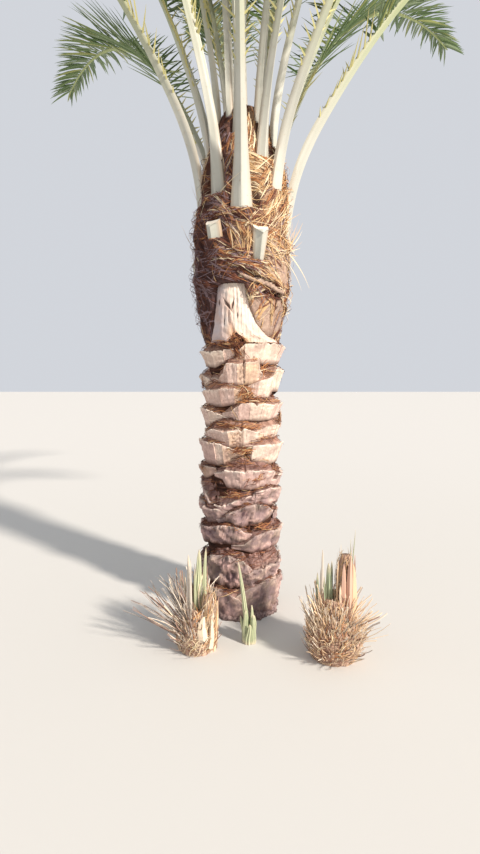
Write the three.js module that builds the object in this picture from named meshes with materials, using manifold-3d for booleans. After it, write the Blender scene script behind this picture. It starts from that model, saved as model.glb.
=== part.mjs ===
// A date palm: a short column of cut leaf bases, a wrap of leaf fibre with cut leaf stalks in it, and a vase of
// feather fronds, with three cut-back offshoots at its foot.
// Millimetres, +Z up. The origin is the centre of the flat cut under the trunk, at ground level.
// The front of the palm looks along -Y. An azimuth is in degrees, from the front towards +X.
import * as THREE from "three";
import { mergeVertices } from "three/addons/utils/BufferGeometryUtils.js";
import Module from "manifold-3d";

const wasm = await Module();
wasm.setup();

// The stem: radius of its core at each height, without the leaf bases that clothe it
const STEM_PROFILE = [
  [0, 240],
  [70, 222],
  [220, 208],
  [1200, 200],
  [1900, 204],
  [2080, 190],
  [2250, 158],
  [2420, 118],
  [2600, 70],
  [2680, 30],
];
const STEM_TOP = STEM_PROFILE.at(-1)[0];
const STEM_LEAN = 18; // how far the stem's tip stands towards +X of its foot
const STEM_SIDES = 18;

// The spiral that every leaf of the palm grows on, cut or living. Leaf 0 is the lowest living frond.
const LEAF_TURN = 137.5;
const LEAF_ZERO_AZIMUTH = 85;
const CUT_LEAF_RISE = [1904, 44]; // height of leaf 0's foot, had it been cut, and the rise to each next leaf
const LIVING_LEAF_RISE = [1978, 28];
const TALL_BASE = -6;
const LOWEST_BASE = -43;
const FROND_COUNT = 24;

// Cut leaf bases: broad wedges round the stem, a shaved flank below and a cut face above their edge
const BASE_HEIGHT = 150;
const BASE_STAND_OUT = 64;
const BASE_HALF_ANGLE = 68;
const BASE_STATIONS = 7;
const WEATHERED_BELOW = 640;
const LOWERED_BASES = { [-8]: 0.62 }; // share of its height that is left of a base cut lower than its neighbours

// The one leaf base left long, bell-shaped, on the front of the trunk
const TALL_BASE_HEIGHT = 330;
const TALL_BASE_STAND_OUT = [62, 54];
const TALL_BASE_SIDES = [
  // share of its height, azimuth of its left and right edge
  [0, -49, 67],
  [0.06, -48, 59],
  [0.12, -47, 38],
  [0.22, -44, 27],
  [0.34, -42, 18],
  [0.62, -40, 9],
  [1, -38, 2],
];

// Fibre wrap: outer radius at each height
const WRAP_PROFILE = [
  [1650, 214],
  [1720, 234],
  [1860, 258],
  [1980, 276],
  [2300, 276],
  [2480, 268],
  [2640, 240],
  [2780, 200],
  [2890, 158],
  [3000, 108],
];
const WRAP_SIDES = 18;
const WRAP_LUMP = 9;

// Fronds, as [outermost, innermost]
const FROND_LENGTH = [4250, 2900];
const FROND_LEAN_AT_ROOT = [5, 0];
const FROND_LEAN_ABOVE_STALK = [33, 3];
const FROND_LEAN_AT_TIP = [100, 20];
const STALK_WIDTH = [138, 64];
const STALK_DEPTH = [52, 34];
const STALK_BEND_FROM = 250;
const STALK_BEND_TO = 1150;
const BLADE_START = 1560;
const RIB_WIDTHS = [
  // share of length, share of width
  [0, 0.6],
  [0.06, 1],
  [0.09, 0.94],
  [0.15, 0.58],
  [0.22, 0.37],
  [0.38, 0.33],
  [1, 0.09],
];
const RIB_DEPTHS = [[0, 0.9], [0.2, 1], [0.4, 0.6], [1, 0.17]];
const BARE_RINGS = [0, 250, 390, 640, 960, 1260];
const LEAFLET_PAIRS = 11;
const LEAFLET_LENGTH = [330, 560, 300]; // at the blade's foot, middle and tip
const LEAFLET_ANGLE = [62, 24]; // from the rib, at the blade's foot and tip
const INNERMOST_OPENNESS = 0.4; // of the leaflets' angle: the youngest frond is still half folded
const LEAFLET_SHARE = 0.62; // of the rib between two leaflets, covered by a leaflet's root
const SPLIT_FRONDS = 12; // the fronds that arch over far enough to be two nodes
const SPLIT_AFTER_PAIR = 4;

// Cut leaf stalks that stand in the fibre wrap: leaf number, foot, length, turn off the spiral, and lean
const CUT_STALKS = [
  [-1, 1985, 335, 19, 15],
  [-2, 1830, 440, 0, 11],
  [-3, 1980, 300, -13, 16],
  [-4, 1740, 450, 0, 8],
  [-5, 1700, 430, 0, 8],
];
const CUT_STALK_WIDTH = 92;
const CUT_STALK_SLANT = 34;
const TURNED_FRONDS = { 7: -9, 10: 13 }; // fronds pushed off the spiral by their neighbours, in degrees

// Offshoots at the foot of the trunk: each the stub of a stem with dry cut stalks round it, a few green spears and
// a fibrous sheath. A stem is [height, radius] pairs, and a fan is its middle azimuth and its spread.
const OFFSHOOTS = [
  {
    name: "offshoot_left",
    foot: [-232, -540],
    stem: [[0, 84], [70, 96], [150, 72], [205, 38]],
    stalks: 19,
    fan: [-110, 210],
    lengths: [280, 400],
    spears: [
      { at: [2, 46], top: 520, width: 54, lean: [6, 0] },
      { at: [-40, -16], top: 510, width: 34, lean: [-2, 8] },
    ],
    sheath: { at: [58, -8], top: 300, radius: 42, lean: [14, 0] },
  },
  {
    name: "offshoot_right",
    foot: [486, -600],
    stem: [[0, 116], [90, 136], [200, 104], [290, 56]],
    stalks: 25,
    fan: [70, 310],
    lengths: [150, 290],
    spears: [
      { at: [-64, 16], top: 550, width: 32, lean: [4, 8] },
      { at: [-26, 34], top: 475, width: 56, lean: [4, 0] },
    ],
    sheath: { at: [52, 40], top: 515, radius: 48, lean: [4, 6] },
  },
  {
    name: "offshoot_centre",
    foot: [50, -470],
    stem: [[0, 30], [50, 38], [140, 37], [190, 18]],
    stalks: 0,
    spears: [{ at: [0, 0], top: 445, width: 38, lean: [-58, 0] }],
  },
];
const STALK_LEANS = [6, 64];
const UPRIGHT_STALK_SHARE = 0.6; // of the outermost stalks' length, for the ones in the middle
const DRY_STALK_WIDTH = 22;
const DRY_STALK_THICKNESS = 10;

const GAP = 0.5; // air between neighbouring solids

const COLOURS = {
  cutWood: 0xd9b594,
  fibre: 0x8a5a3c,
  stalk: 0xc9cfae,
  frond: 0x7d8f63,
  dryStalk: 0xc2a878,
  greenSpear: 0xa3ad6a,
};

const radians = THREE.MathUtils.degToRad;
const mix = THREE.MathUtils.lerp;
const smooth = (t) => THREE.MathUtils.smoothstep(t, 0, 1);

// A repeatable number from -1 to 1 for a leaf number and a purpose
function wobble(leaf, purpose) {
  const wave = Math.sin(leaf * 12.9898 + purpose * 78.233) * 43758.5453;
  return 2 * (wave - Math.floor(wave)) - 1;
}

// A value read off a profile of [height, value] pairs
function alongProfile(profile, height) {
  const last = profile.length - 1;
  if (height <= profile[0][0]) return profile[0][1];
  if (height >= profile[last][0]) return profile[last][1];
  const k = profile.findIndex(([h]) => h > height) - 1;
  const [low, high] = [profile[k], profile[k + 1]];
  return mix(low[1], high[1], (height - low[0]) / (high[0] - low[0]));
}

// A point at a distance from the stem's own axis
function aroundStem(radius, azimuth, height) {
  const a = radians(azimuth);
  const lean = STEM_LEAN * smooth(height / STEM_TOP);
  return new THREE.Vector3(lean + radius * Math.sin(a), -radius * Math.cos(a), height);
}

function leafAzimuth(leaf) {
  return LEAF_ZERO_AZIMUTH + LEAF_TURN * leaf;
}

function leafHeight(leaf) {
  const [start, rise] = leaf < 0 ? CUT_LEAF_RISE : LIVING_LEAF_RISE;
  return start + leaf * rise;
}

// Solids and geometries

function solidFrom(points, faces) {
  const geometry = new THREE.BufferGeometry().setFromPoints(points).setIndex(faces);
  const merged = mergeVertices(geometry, 1e-3);
  const make = (triVerts) =>
    new wasm.Manifold(
      new wasm.Mesh({ numProp: 3, vertProperties: merged.attributes.position.array, triVerts }),
    );
  const triVerts = new Uint32Array(merged.index.array);
  const solid = make(triVerts);
  return solid.volume() > 0 ? solid : make(triVerts.reverse());
}

function geometryFrom(solid) {
  const { vertProperties, triVerts, numProp } = solid.getMesh();
  const positions = new THREE.BufferAttribute(new Float32Array(vertProperties), numProp);
  return new THREE.BufferGeometry()
    .setAttribute("position", positions)
    .setIndex(new THREE.BufferAttribute(new Uint32Array(triVerts), 1));
}

function facesBetweenRings(rings) {
  const sides = rings[0].length;
  const faces = [];
  for (let k = 0; k + 1 < rings.length; k++)
    for (let i = 0; i < sides; i++) {
      const a = k * sides + i;
      const b = k * sides + ((i + 1) % sides);
      faces.push(a, b, b + sides, a, b + sides, a + sides);
    }
  return faces;
}

// A closed body through rings of equally many points, with a flat fan over each end
function loft(rings) {
  const sides = rings[0].length;
  const faces = facesBetweenRings(rings);
  const top = (rings.length - 1) * sides;
  for (let i = 1; i + 1 < sides; i++) {
    faces.push(0, i + 1, i);
    faces.push(top, top + i, top + i + 1);
  }
  return solidFrom(rings.flat(), faces);
}

// The same for rings that run up an outer side and back down an inner one: each end is closed as a ladder
function loftOfShells(rings) {
  const sides = rings[0].length;
  const faces = facesBetweenRings(rings);
  const top = (rings.length - 1) * sides;
  for (let i = 0; i + 1 < sides / 2; i++) {
    const across = sides - 1 - i;
    faces.push(i, across - 1, i + 1, i, across, across - 1);
    faces.push(top + i, top + i + 1, top + across - 1, top + i, top + across - 1, top + across);
  }
  return solidFrom(rings.flat(), faces);
}

// The largest piece of a solid, without the scraps a cut may leave
function largestPiece(solid) {
  return solid.decompose().sort((a, b) => b.volume() - a.volume())[0];
}

function ringAroundStem(radiusAt, height, sides) {
  return Array.from({ length: sides }, (_, i) => {
    const azimuth = (360 * i) / sides;
    return aroundStem(radiusAt(azimuth), azimuth, height);
  });
}

// The trunk

function stemCore(grow) {
  const rings = STEM_PROFILE.map(([height, radius]) =>
    ringAroundStem(() => radius + grow, height + (height === STEM_TOP ? grow : 0), STEM_SIDES),
  );
  return loft(rings);
}

// The shape of one cut leaf base
function baseShape(leaf) {
  const foot = leafHeight(leaf);
  const weathered = foot < WEATHERED_BELOW;
  return {
    foot,
    azimuth: leafAzimuth(leaf) + 4 * wobble(leaf, 1),
    height: BASE_HEIGHT * (1 + 0.1 * wobble(leaf, 2)) * (LOWERED_BASES[leaf] ?? 1),
    edgeShare: weathered ? 0.5 : 0.76 + 0.06 * wobble(leaf, 3),
    standOut: BASE_STAND_OUT + 6 * wobble(leaf, 4) - (weathered ? 6 : 0),
    halfAngle: BASE_HALF_ANGLE + 5 * wobble(leaf, 5),
  };
}

// A leaf base as a run of four-cornered sections round the stem
function cutLeafBase(leaf, grow) {
  const shape = baseShape(leaf);
  const rings = [];
  for (let k = 0; k < BASE_STATIONS; k++) {
    const across = -1 + (2 * k) / (BASE_STATIONS - 1);
    const fullness = Math.cos((across * Math.PI) / 2);
    const azimuth = shape.azimuth + across * shape.halfAngle;
    const top = shape.foot + shape.height * (0.7 + 0.3 * fullness);
    const foot = Math.max(shape.foot - 14 * fullness, 0);
    const edge = mix(foot, top, shape.edgeShare);
    const core = alongProfile(STEM_PROFILE, edge);
    const out = shape.standOut * (0.1 + 0.9 * fullness ** 0.35) + grow;
    rings.push([
      aroundStem(core - 30, azimuth, Math.max(foot - grow, 0)),
      aroundStem(core + 0.34 * out, azimuth, Math.max(foot - grow, 0)),
      aroundStem(core + out, azimuth, edge),
      aroundStem(core - 30, azimuth, top + 30 + grow),
    ]);
  }
  return loft(rings);
}

// The bell-shaped base that was left long. Its faces may be pushed out and in, to clear what lies over it.
function tallLeafBase(grow, clearance = 0) {
  const foot = leafHeight(TALL_BASE);
  const stations = 6;
  const sideGrowth = (5 * grow * 180) / (Math.PI * 200);
  const rings = [];
  for (let k = 0; k < stations; k++) {
    const outer = [];
    const inner = [];
    for (const [up, left, right] of TALL_BASE_SIDES) {
      const share = k / (stations - 1);
      const azimuth = mix(left - sideGrowth, right + sideGrowth, share);
      const height = foot + up * TALL_BASE_HEIGHT + (up === 0 ? -grow : up === 1 ? grow : 0);
      const core = alongProfile(STEM_PROFILE, height);
      const roundness = 1 - 0.4 * (2 * share - 1) ** 2;
      const standOut = mix(...TALL_BASE_STAND_OUT, up) * roundness + grow + clearance;
      outer.push(aroundStem(core + standOut, azimuth, height));
      inner.push(aroundStem(core + 2 * GAP - grow - clearance, azimuth, height));
    }
    rings.push([...outer, ...inner.reverse()]);
  }
  return loftOfShells(rings);
}

function trunkSolid(grow) {
  const parts = [stemCore(grow)];
  for (let leaf = TALL_BASE - 1; leaf >= LOWEST_BASE; leaf--) parts.push(cutLeafBase(leaf, grow));
  return wasm.Manifold.union(parts);
}

// Leaf stalks and fronds

// Everything that a frond's place on the spiral settles
function frondShape(leaf) {
  const inward = leaf / (FROND_COUNT - 1);
  const between = (pair, power = 1) => mix(pair[0], pair[1], inward ** power);
  const depth = between(STALK_DEPTH);
  return {
    leaf,
    azimuth: leafAzimuth(leaf) + (TURNED_FRONDS[leaf] ?? 3 * wobble(leaf, 11)),
    foot: leafHeight(leaf),
    length: between(FROND_LENGTH, 2) * (1 + 0.03 * wobble(leaf, 12)),
    leans: [
      between(FROND_LEAN_AT_ROOT),
      between(FROND_LEAN_ABOVE_STALK) + 1.5 * wobble(leaf, 13),
      between(FROND_LEAN_AT_TIP) + 6 * wobble(leaf, 14),
    ],
    width: between(STALK_WIDTH),
    depth,
    openness: mix(1, INNERMOST_OPENNESS, inward ** 4),
    sweep: 170 * wobble(leaf, 15),
    twist: 22 * wobble(leaf, 16),
  };
}

// The lean from upright, in degrees, at a distance along a frond
function leanAt(shape, along) {
  const [root, above, tip] = shape.leans;
  const bent = smooth((along - STALK_BEND_FROM) / (STALK_BEND_TO - STALK_BEND_FROM));
  const drooped = Math.max(0, (along - STALK_BEND_TO) / (shape.length - STALK_BEND_TO));
  return mix(root, above, bent) + (tip - above) * drooped ** 1.25;
}

// Walks a frond's midline in small steps and gives the place and directions at a distance along it
function frondWalk(shape) {
  const step = 10;
  const out = aroundStem(1, shape.azimuth, 0).sub(aroundStem(0, shape.azimuth, 0));
  const side = new THREE.Vector3(-out.y, out.x, 0);
  const core = alongProfile(STEM_PROFILE, shape.foot);
  const start = aroundStem(core + shape.depth * 0.5 + 4, shape.azimuth, shape.foot);
  const places = [start.clone()];
  for (let along = 0; along < shape.length + step; along += step) {
    const lean = radians(leanAt(shape, along + step / 2));
    const forward = out.clone().multiplyScalar(Math.sin(lean));
    forward.z += Math.cos(lean);
    places.push(places.at(-1).clone().addScaledVector(forward, step));
  }
  return (along) => {
    const k = Math.min(Math.floor(along / step), places.length - 2);
    const place = places[k].clone().lerp(places[k + 1], along / step - k);
    const reach = Math.max(0, along - STALK_BEND_TO) / (shape.length - STALK_BEND_TO);
    place.addScaledVector(side, shape.sweep * reach * reach);
    const lean = radians(leanAt(shape, along));
    const forward = out.clone().multiplyScalar(Math.sin(lean));
    forward.z += Math.cos(lean);
    const inner = new THREE.Vector3().crossVectors(forward, side).normalize();
    const twist = radians(shape.twist * reach);
    const across = side.clone().applyAxisAngle(forward, twist);
    inner.applyAxisAngle(forward, twist);
    return { place, forward, across, inner };
  };
}

function ribWidth(shape, along) {
  return shape.width * alongProfile(RIB_WIDTHS, along / shape.length);
}

function ribDepth(shape, along) {
  return shape.depth * alongProfile(RIB_DEPTHS, along / shape.length);
}

// Five corners of a leaf stalk: flat on its inner side, keeled on its outer side
function ribSection(shape, walk, along, grow = 0) {
  const { place, across, inner } = walk(along);
  const w = ribWidth(shape, along) / 2 + grow;
  const d = ribDepth(shape, along) / 2 + grow;
  const corner = (x, y) => place.clone().addScaledVector(across, x).addScaledVector(inner, y);
  return [
    corner(-w, d * 0.9),
    corner(w, d * 0.9),
    corner(w * 0.92, d * 0.05),
    corner(0, -d),
    corner(-w * 0.92, d * 0.05),
  ];
}

// A bare leaf stalk through the given distances along it, grown to cut room for it in what lies round it.
// A slant lowers its top end towards the keel.
function stalkSolid(shape, distances, grow, slant = 0) {
  const walk = frondWalk(shape);
  const rings = distances.map((along) => ribSection(shape, walk, along, grow));
  rings[0].forEach((point) => (point.z -= grow));
  rings.at(-1).forEach((point, i) => (point.z += grow - slant * [0, 0, 0.45, 1, 0.45][i]));
  return loft(rings);
}

// Distances along the rib where its rings stand: the bare stalk, then two for each pair of leaflets
function ribRings(shape) {
  const bare = BARE_RINGS.map((along) => ({ along }));
  const pitch = (shape.length - BLADE_START) / LEAFLET_PAIRS;
  const blade = [];
  for (let pair = 0; pair < LEAFLET_PAIRS; pair++) {
    const along = BLADE_START + pair * pitch;
    blade.push({ along, pair }, { along: along + pitch * LEAFLET_SHARE });
  }
  return [...bare, ...blade, { along: shape.length }];
}

function leafletLength(share) {
  const [foot, middle, tip] = LEAFLET_LENGTH;
  return share < 0.4
    ? mix(foot, middle, smooth(share / 0.4))
    : mix(middle, tip, smooth((share - 0.4) / 0.6));
}

// Where a leaflet ends. Sides are -1 and 1, and ranks of leaflets stand at two angles out of the blade.
function leafletTip(shape, walk, along, pair, side, stretch) {
  const share = pair / (LEAFLET_PAIRS - 1);
  const { place, forward, across, inner } = walk(along);
  const angle = radians(mix(...LEAFLET_ANGLE, share) * shape.openness);
  const lift = radians((pair + (side > 0 ? 1 : 0)) % 2 ? 34 : 8);
  const length = leafletLength(share) * stretch * (1 + 0.08 * wobble(shape.leaf, 20 + pair));
  return place
    .clone()
    .addScaledVector(forward, length * Math.cos(angle))
    .addScaledVector(across, side * length * Math.sin(angle) * Math.cos(lift))
    .addScaledVector(inner, length * Math.sin(angle) * Math.sin(lift));
}

// Which leaflets of a frond have room, and how long they may be
function fitLeaflets(shape, walk, neighbours) {
  const fitted = new Map();
  const rings = ribRings(shape);
  for (let k = 0; k + 1 < rings.length; k++) {
    const { pair } = rings[k];
    if (pair === undefined) continue;
    const low = ribSection(shape, walk, rings[k].along);
    const high = ribSection(shape, walk, rings[k + 1].along);
    const middle = (rings[k].along + rings[k + 1].along) / 2;
    for (const side of [-1, 1]) {
      const [top, under] = side > 0 ? [1, 2] : [0, 4];
      const root = [low[top], low[under], high[under], high[top]];
      const stretch = [1, 0.8, 0.6, 0.4].find((share) => {
        const tip = leafletTip(shape, walk, middle, pair, side, share);
        const blade = wasm.Manifold.hull([...root, tip].map((p) => p.toArray()));
        return !neighbours.some((other) => solidsMeet(blade, other));
      });
      if (stretch) fitted.set(`${pair},${side}`, leafletTip(shape, walk, middle, pair, side, stretch));
    }
  }
  return fitted;
}

function solidsMeet(a, b) {
  const [p, q] = [a.boundingBox(), b.boundingBox()];
  const near = [0, 1, 2].every((i) => p.min[i] < q.max[i] + 1 && q.min[i] < p.max[i] + 1);
  return near && a.intersect(b).volume() > 0;
}

// A frond, or a stretch of one, as one closed mesh: the rib's side face becomes a spike where a leaflet stands
function frondSolid(shape, walk, tips, from, to) {
  const rings = ribRings(shape).slice(from, to + 1);
  const points = rings.flatMap(({ along }, k) => {
    const meeting = from > 0 && k === 0 ? along + GAP : along;
    return ribSection(shape, walk, meeting);
  });
  const faces = [0, 2, 1, 0, 3, 2, 0, 4, 3];
  for (let k = 0; k + 1 < rings.length; k++)
    for (let i = 0; i < 5; i++) {
      const a = k * 5 + i;
      const b = k * 5 + ((i + 1) % 5);
      const side = { 1: 1, 4: -1 }[i];
      const tip = side && tips.get(`${rings[k].pair},${side}`);
      if (tip) {
        const t = points.push(tip) - 1;
        faces.push(a, b, t, b, b + 5, t, b + 5, a + 5, t, a + 5, a, t);
      } else faces.push(a, b, b + 5, a, b + 5, a + 5);
    }
  const top = (rings.length - 1) * 5;
  faces.push(top, top + 1, top + 2, top, top + 2, top + 3, top, top + 3, top + 4);
  return solidFrom(points, faces);
}

// The offshoots

// A round stub through [height, radius] pairs, its axis leaning with height
function roundStub([x, y], profile, sides, [leanX, leanY] = [0, 0], grow = 0) {
  const top = profile.at(-1)[0];
  const rings = profile.map(([height, radius]) =>
    Array.from({ length: sides }, (_, i) => {
      const a = (2 * Math.PI * i) / sides;
      const r = radius + grow;
      const share = height / top;
      return new THREE.Vector3(x + leanX * share + r * Math.sin(a), y + leanY * share - r * Math.cos(a), height);
    }),
  );
  rings.at(-1).forEach((point) => (point.z += grow));
  return loft(rings);
}

function offshootSheath({ foot, sheath }, grow) {
  const { at, top, radius, lean } = sheath;
  const profile = [[0, radius], [0.4 * top, radius], [0.8 * top, 0.82 * radius], [top, 0.5 * radius]];
  return roundStub([foot[0] + at[0], foot[1] + at[1]], profile, 8, lean, grow);
}

// A flat tapering strip with a slanting cut end
function strip(root, direction, length) {
  const forward = direction.clone().normalize();
  const across = new THREE.Vector3(-forward.y, forward.x, 0).normalize();
  const inner = new THREE.Vector3().crossVectors(across, forward);
  const corners = [[-1, -1], [1, -1], [1, 1], [-1, 1]];
  const ring = (along, share, slant) =>
    corners.map(([i, j]) =>
      root
        .clone()
        .addScaledVector(forward, along + slant * i)
        .addScaledVector(across, (i * share * DRY_STALK_WIDTH) / 2)
        .addScaledVector(inner, (j * share * DRY_STALK_THICKNESS) / 2),
    );
  return loft([ring(0, 1, 0), ring(length, 0.7, 9)]);
}

function offshootStalk({ foot, stem, stalks, fan, lengths }, k) {
  const share = (k + 0.5) / stalks;
  const [middle, spread] = fan;
  const turn = radians(spread * (((k * 0.618) % 1) - 0.5));
  const azimuth = radians(middle) + turn;
  const openness = 0.45 + 0.55 * Math.max(0, Math.cos(turn));
  const lean = radians(mix(...STALK_LEANS, share ** 0.8) * openness);
  const height = mix(0.8 * stem.at(-1)[0], 45, share);
  const radius = 0.6 * alongProfile(stem, height);
  const root = new THREE.Vector3(
    foot[0] + radius * Math.sin(azimuth),
    foot[1] - radius * Math.cos(azimuth),
    height,
  );
  const direction = new THREE.Vector3(
    Math.sin(lean) * Math.sin(azimuth),
    -Math.sin(lean) * Math.cos(azimuth),
    Math.cos(lean),
  );
  const length = mix(...lengths, 0.5 + 0.5 * wobble(k, 31)) * mix(UPRIGHT_STALK_SHARE, 1, share);
  return strip(root, direction, length);
}

// A spear is a folded young leaf, or the stub of one: wide at the foot and slim above
function offshootSpear(shoot, spear, grow) {
  const [x, y] = shoot.foot;
  const foot = new THREE.Vector3(x + spear.at[0], y + spear.at[1], 0);
  const top = foot.clone().add(new THREE.Vector3(spear.lean[0], spear.lean[1], spear.top));
  const section = (share, w, t) => {
    const c = foot.clone().lerp(top, share);
    return [[-1, 0.3], [-0.4, -1], [0.4, -1], [1, 0.3], [0, 1]].map(
      ([i, j]) => new THREE.Vector3(c.x + i * (w / 2 + grow), c.y + j * (t / 2 + grow), c.z),
    );
  };
  const rings = [
    section(0, spear.width, spear.width * 0.6),
    section(0.35, spear.width * 0.95, spear.width * 0.5),
    section(0.7, spear.width * 0.68, spear.width * 0.38),
    section(1, spear.width * 0.26, spear.width * 0.18),
  ];
  rings.at(-1).forEach((point) => (point.z += grow));
  return loft(rings);
}

// Putting the palm together

const palm = new THREE.Group();

function addNode(name, solid, colour, roughness) {
  const material = new THREE.MeshStandardMaterial({ color: colour, roughness, metalness: 0 });
  const mesh = new THREE.Mesh(geometryFrom(solid), material);
  mesh.name = name;
  palm.add(mesh);
}

const fronds = Array.from({ length: FROND_COUNT }, (_, leaf) => {
  const shape = frondShape(leaf);
  return { shape, walk: frondWalk(shape), name: `frond_${String(leaf + 1).padStart(2, "0")}` };
});

addNode("trunk", trunkSolid(0), COLOURS.cutWood, 0.85);

const cutStalks = CUT_STALKS.map(([leaf, foot, length, turn, lean], k) => {
  const azimuth = leafAzimuth(leaf) + turn;
  const shape = { ...frondShape(0), azimuth, foot, leans: [lean, lean, lean], width: CUT_STALK_WIDTH };
  const distances = [0, length / 2, length];
  addNode(`cut_stalk_${k + 1}`, stalkSolid(shape, distances, 0, CUT_STALK_SLANT), COLOURS.stalk, 0.6);
  return stalkSolid(shape, distances, GAP, CUT_STALK_SLANT);
});

const wrapRings = WRAP_PROFILE.map(([height, radius], level) =>
  ringAroundStem(
    (azimuth) => radius + WRAP_LUMP * wobble(Math.round(azimuth), 40 + level),
    height,
    WRAP_SIDES,
  ),
);
const tallBase = tallLeafBase(0).subtract(wasm.Manifold.union([trunkSolid(GAP), ...cutStalks]));
addNode("tall_leaf_base", largestPiece(tallBase), COLOURS.cutWood, 0.8);

const roomInWrap = wasm.Manifold.union([
  trunkSolid(GAP),
  tallLeafBase(GAP, 150),
  ...cutStalks,
  ...fronds.map(({ shape }) => stalkSolid(shape, BARE_RINGS, GAP)),
]);
addNode("fibre_wrap", largestPiece(loft(wrapRings).subtract(roomInWrap)), COLOURS.fibre, 0.95);

// Leaflets are fitted from the outermost frond inwards, each clear of every other frond's rib and leaflets
const ribs = fronds.map(({ shape, walk }) =>
  frondSolid(shape, walk, new Map(), 0, ribRings(shape).length - 1),
);
const finished = [];
fronds.forEach(({ shape, walk, name }, leaf) => {
  const tips = fitLeaflets(shape, walk, [...finished, ...ribs.slice(leaf + 1)]);
  const last = ribRings(shape).length - 1;
  finished.push(frondSolid(shape, walk, tips, 0, last));
  if (leaf < SPLIT_FRONDS) {
    const meeting = ribRings(shape).findIndex(({ pair }) => pair === SPLIT_AFTER_PAIR);
    addNode(`${name}_inner`, frondSolid(shape, walk, tips, 0, meeting), COLOURS.frond, 0.7);
    addNode(`${name}_outer`, frondSolid(shape, walk, tips, meeting, last), COLOURS.frond, 0.7);
  } else addNode(name, finished.at(-1), COLOURS.frond, 0.7);
});

for (const shoot of OFFSHOOTS) {
  const { name, foot, stem, spears, sheath } = shoot;
  const stalks = Array.from({ length: shoot.stalks }, (_, k) => offshootStalk(shoot, k));
  const clump = wasm.Manifold.union([roundStub(foot, stem, 10), ...stalks]);
  const room = [trunkSolid(GAP), ...spears.map((spear) => offshootSpear(shoot, spear, GAP))];
  if (sheath) {
    room.push(offshootSheath(shoot, GAP));
    addNode(`${name}_sheath`, offshootSheath(shoot, 0), COLOURS.fibre, 0.95);
  }
  addNode(`${name}_stub`, largestPiece(clump.subtract(wasm.Manifold.union(room))), COLOURS.dryStalk, 0.9);
  spears.forEach((spear, k) =>
    addNode(`${name}_spear_${k + 1}`, offshootSpear(shoot, spear, 0), COLOURS.greenSpear, 0.6),
  );
}

export default palm;
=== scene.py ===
import math

import bpy
import numpy as np
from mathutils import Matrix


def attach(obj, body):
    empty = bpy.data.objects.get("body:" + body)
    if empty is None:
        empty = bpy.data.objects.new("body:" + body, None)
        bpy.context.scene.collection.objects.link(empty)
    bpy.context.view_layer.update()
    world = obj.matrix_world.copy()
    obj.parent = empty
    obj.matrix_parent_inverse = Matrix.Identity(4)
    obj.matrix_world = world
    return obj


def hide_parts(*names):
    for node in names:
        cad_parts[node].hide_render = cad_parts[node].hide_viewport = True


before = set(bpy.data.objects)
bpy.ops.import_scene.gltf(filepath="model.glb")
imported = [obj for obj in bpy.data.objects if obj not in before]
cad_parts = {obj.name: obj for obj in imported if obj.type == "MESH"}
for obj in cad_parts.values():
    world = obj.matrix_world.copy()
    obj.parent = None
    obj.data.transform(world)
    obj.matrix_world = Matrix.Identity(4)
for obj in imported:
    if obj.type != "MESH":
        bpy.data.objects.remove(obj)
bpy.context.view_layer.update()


# The stem is a column of fibrous wood on a slightly flared foot, cut flat at the ground. Its leaf bases hide
# it, but for dark gaps of matted fibre between them. Sizes are in metres, and an azimuth is in degrees from
# the front towards +X.

STEM_HEIGHTS = [0, 0.07, 0.22, 1.2, 1.9, 2.08, 2.25, 2.42, 2.6, 2.68]
STEM_RADII = [0.24, 0.222, 0.208, 0.2, 0.204, 0.19, 0.158, 0.118, 0.07, 0.03]
STEM_LEAN = 0.018
STEM_ROWS = 170
STEM_COLUMNS = 110
STEM_ROUGHNESS = 0.006
MATTED_BROWN = (0.085, 0.036, 0.024, 1)
MATTED_DARK = (0.03, 0.014, 0.011, 1)
FOOT_GREY = (0.38, 0.27, 0.25, 1)
FOOT_DARK = (0.09, 0.06, 0.06, 1)
FOOT_TOP = 0.15


def smooth(share):
    share = np.clip(share, 0, 1)
    return share * share * (3 - 2 * share)


def around_stem(radius, azimuth, height):
    """Points at a distance from the leaning stem's own axis"""
    turn = np.radians(azimuth)
    radius, turn, height = np.broadcast_arrays(radius, turn, height)
    lean = STEM_LEAN * smooth(height / STEM_HEIGHTS[-1])
    return np.stack([lean + radius * np.sin(turn), -radius * np.cos(turn), height], axis=-1)


def stem_radius(height):
    return np.interp(height, STEM_HEIGHTS, STEM_RADII)


def unevenness(points, lump, seed, octaves=3):
    """Smooth noise from about -1 to 1 at points in space, where lump is the size of its widest swells"""
    chance = np.random.default_rng(seed)
    total = np.zeros(points.shape[:-1])
    for octave in range(octaves):
        for _ in range(4):
            direction = chance.normal(size=3)
            direction *= 2 * math.pi * 2**octave / (lump * np.linalg.norm(direction))
            total += 0.6**octave * np.sin(points @ direction + chance.uniform(0, 2 * math.pi))
    return total / 3


def grid_triangles(rows, columns, closed=False):
    """Triangles over points numbered row by row; a closed grid joins its last column to its first"""
    row, column = np.meshgrid(np.arange(rows - 1), np.arange(columns - (not closed)), indexing="ij")
    first = row * columns + column
    beside = row * columns + (column + 1) % columns
    above = np.stack([first, beside, beside + columns], axis=-1).reshape(-1, 3)
    below = np.stack([first, beside + columns, first + columns], axis=-1).reshape(-1, 3)
    return np.concatenate([above, below])


def all_round(columns):
    """Azimuths of the columns of a closed grid"""
    return np.linspace(0, 360, columns, endpoint=False)[None, :]


def laid_out(grid, *parts):
    """Vectors at the points of a grid, of parts that are rows, columns or plain numbers"""
    return np.stack([np.broadcast_to(part, grid) for part in parts], axis=-1)


def sheet(points, grain, closed=False, **marks):
    """A grid of points as (points, triangles, marks), with marks a dict of values at the points. Grain is
    places across and along the fibres of the wood, and a number for the piece."""
    grid = points.shape[:2]
    marks = {name: np.broadcast_to(values, grid).ravel() for name, values in marks.items()}
    marks["grain"] = laid_out(grid, *grain).reshape(-1, 3)
    return points.reshape(-1, 3), grid_triangles(*grid, closed), marks


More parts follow.
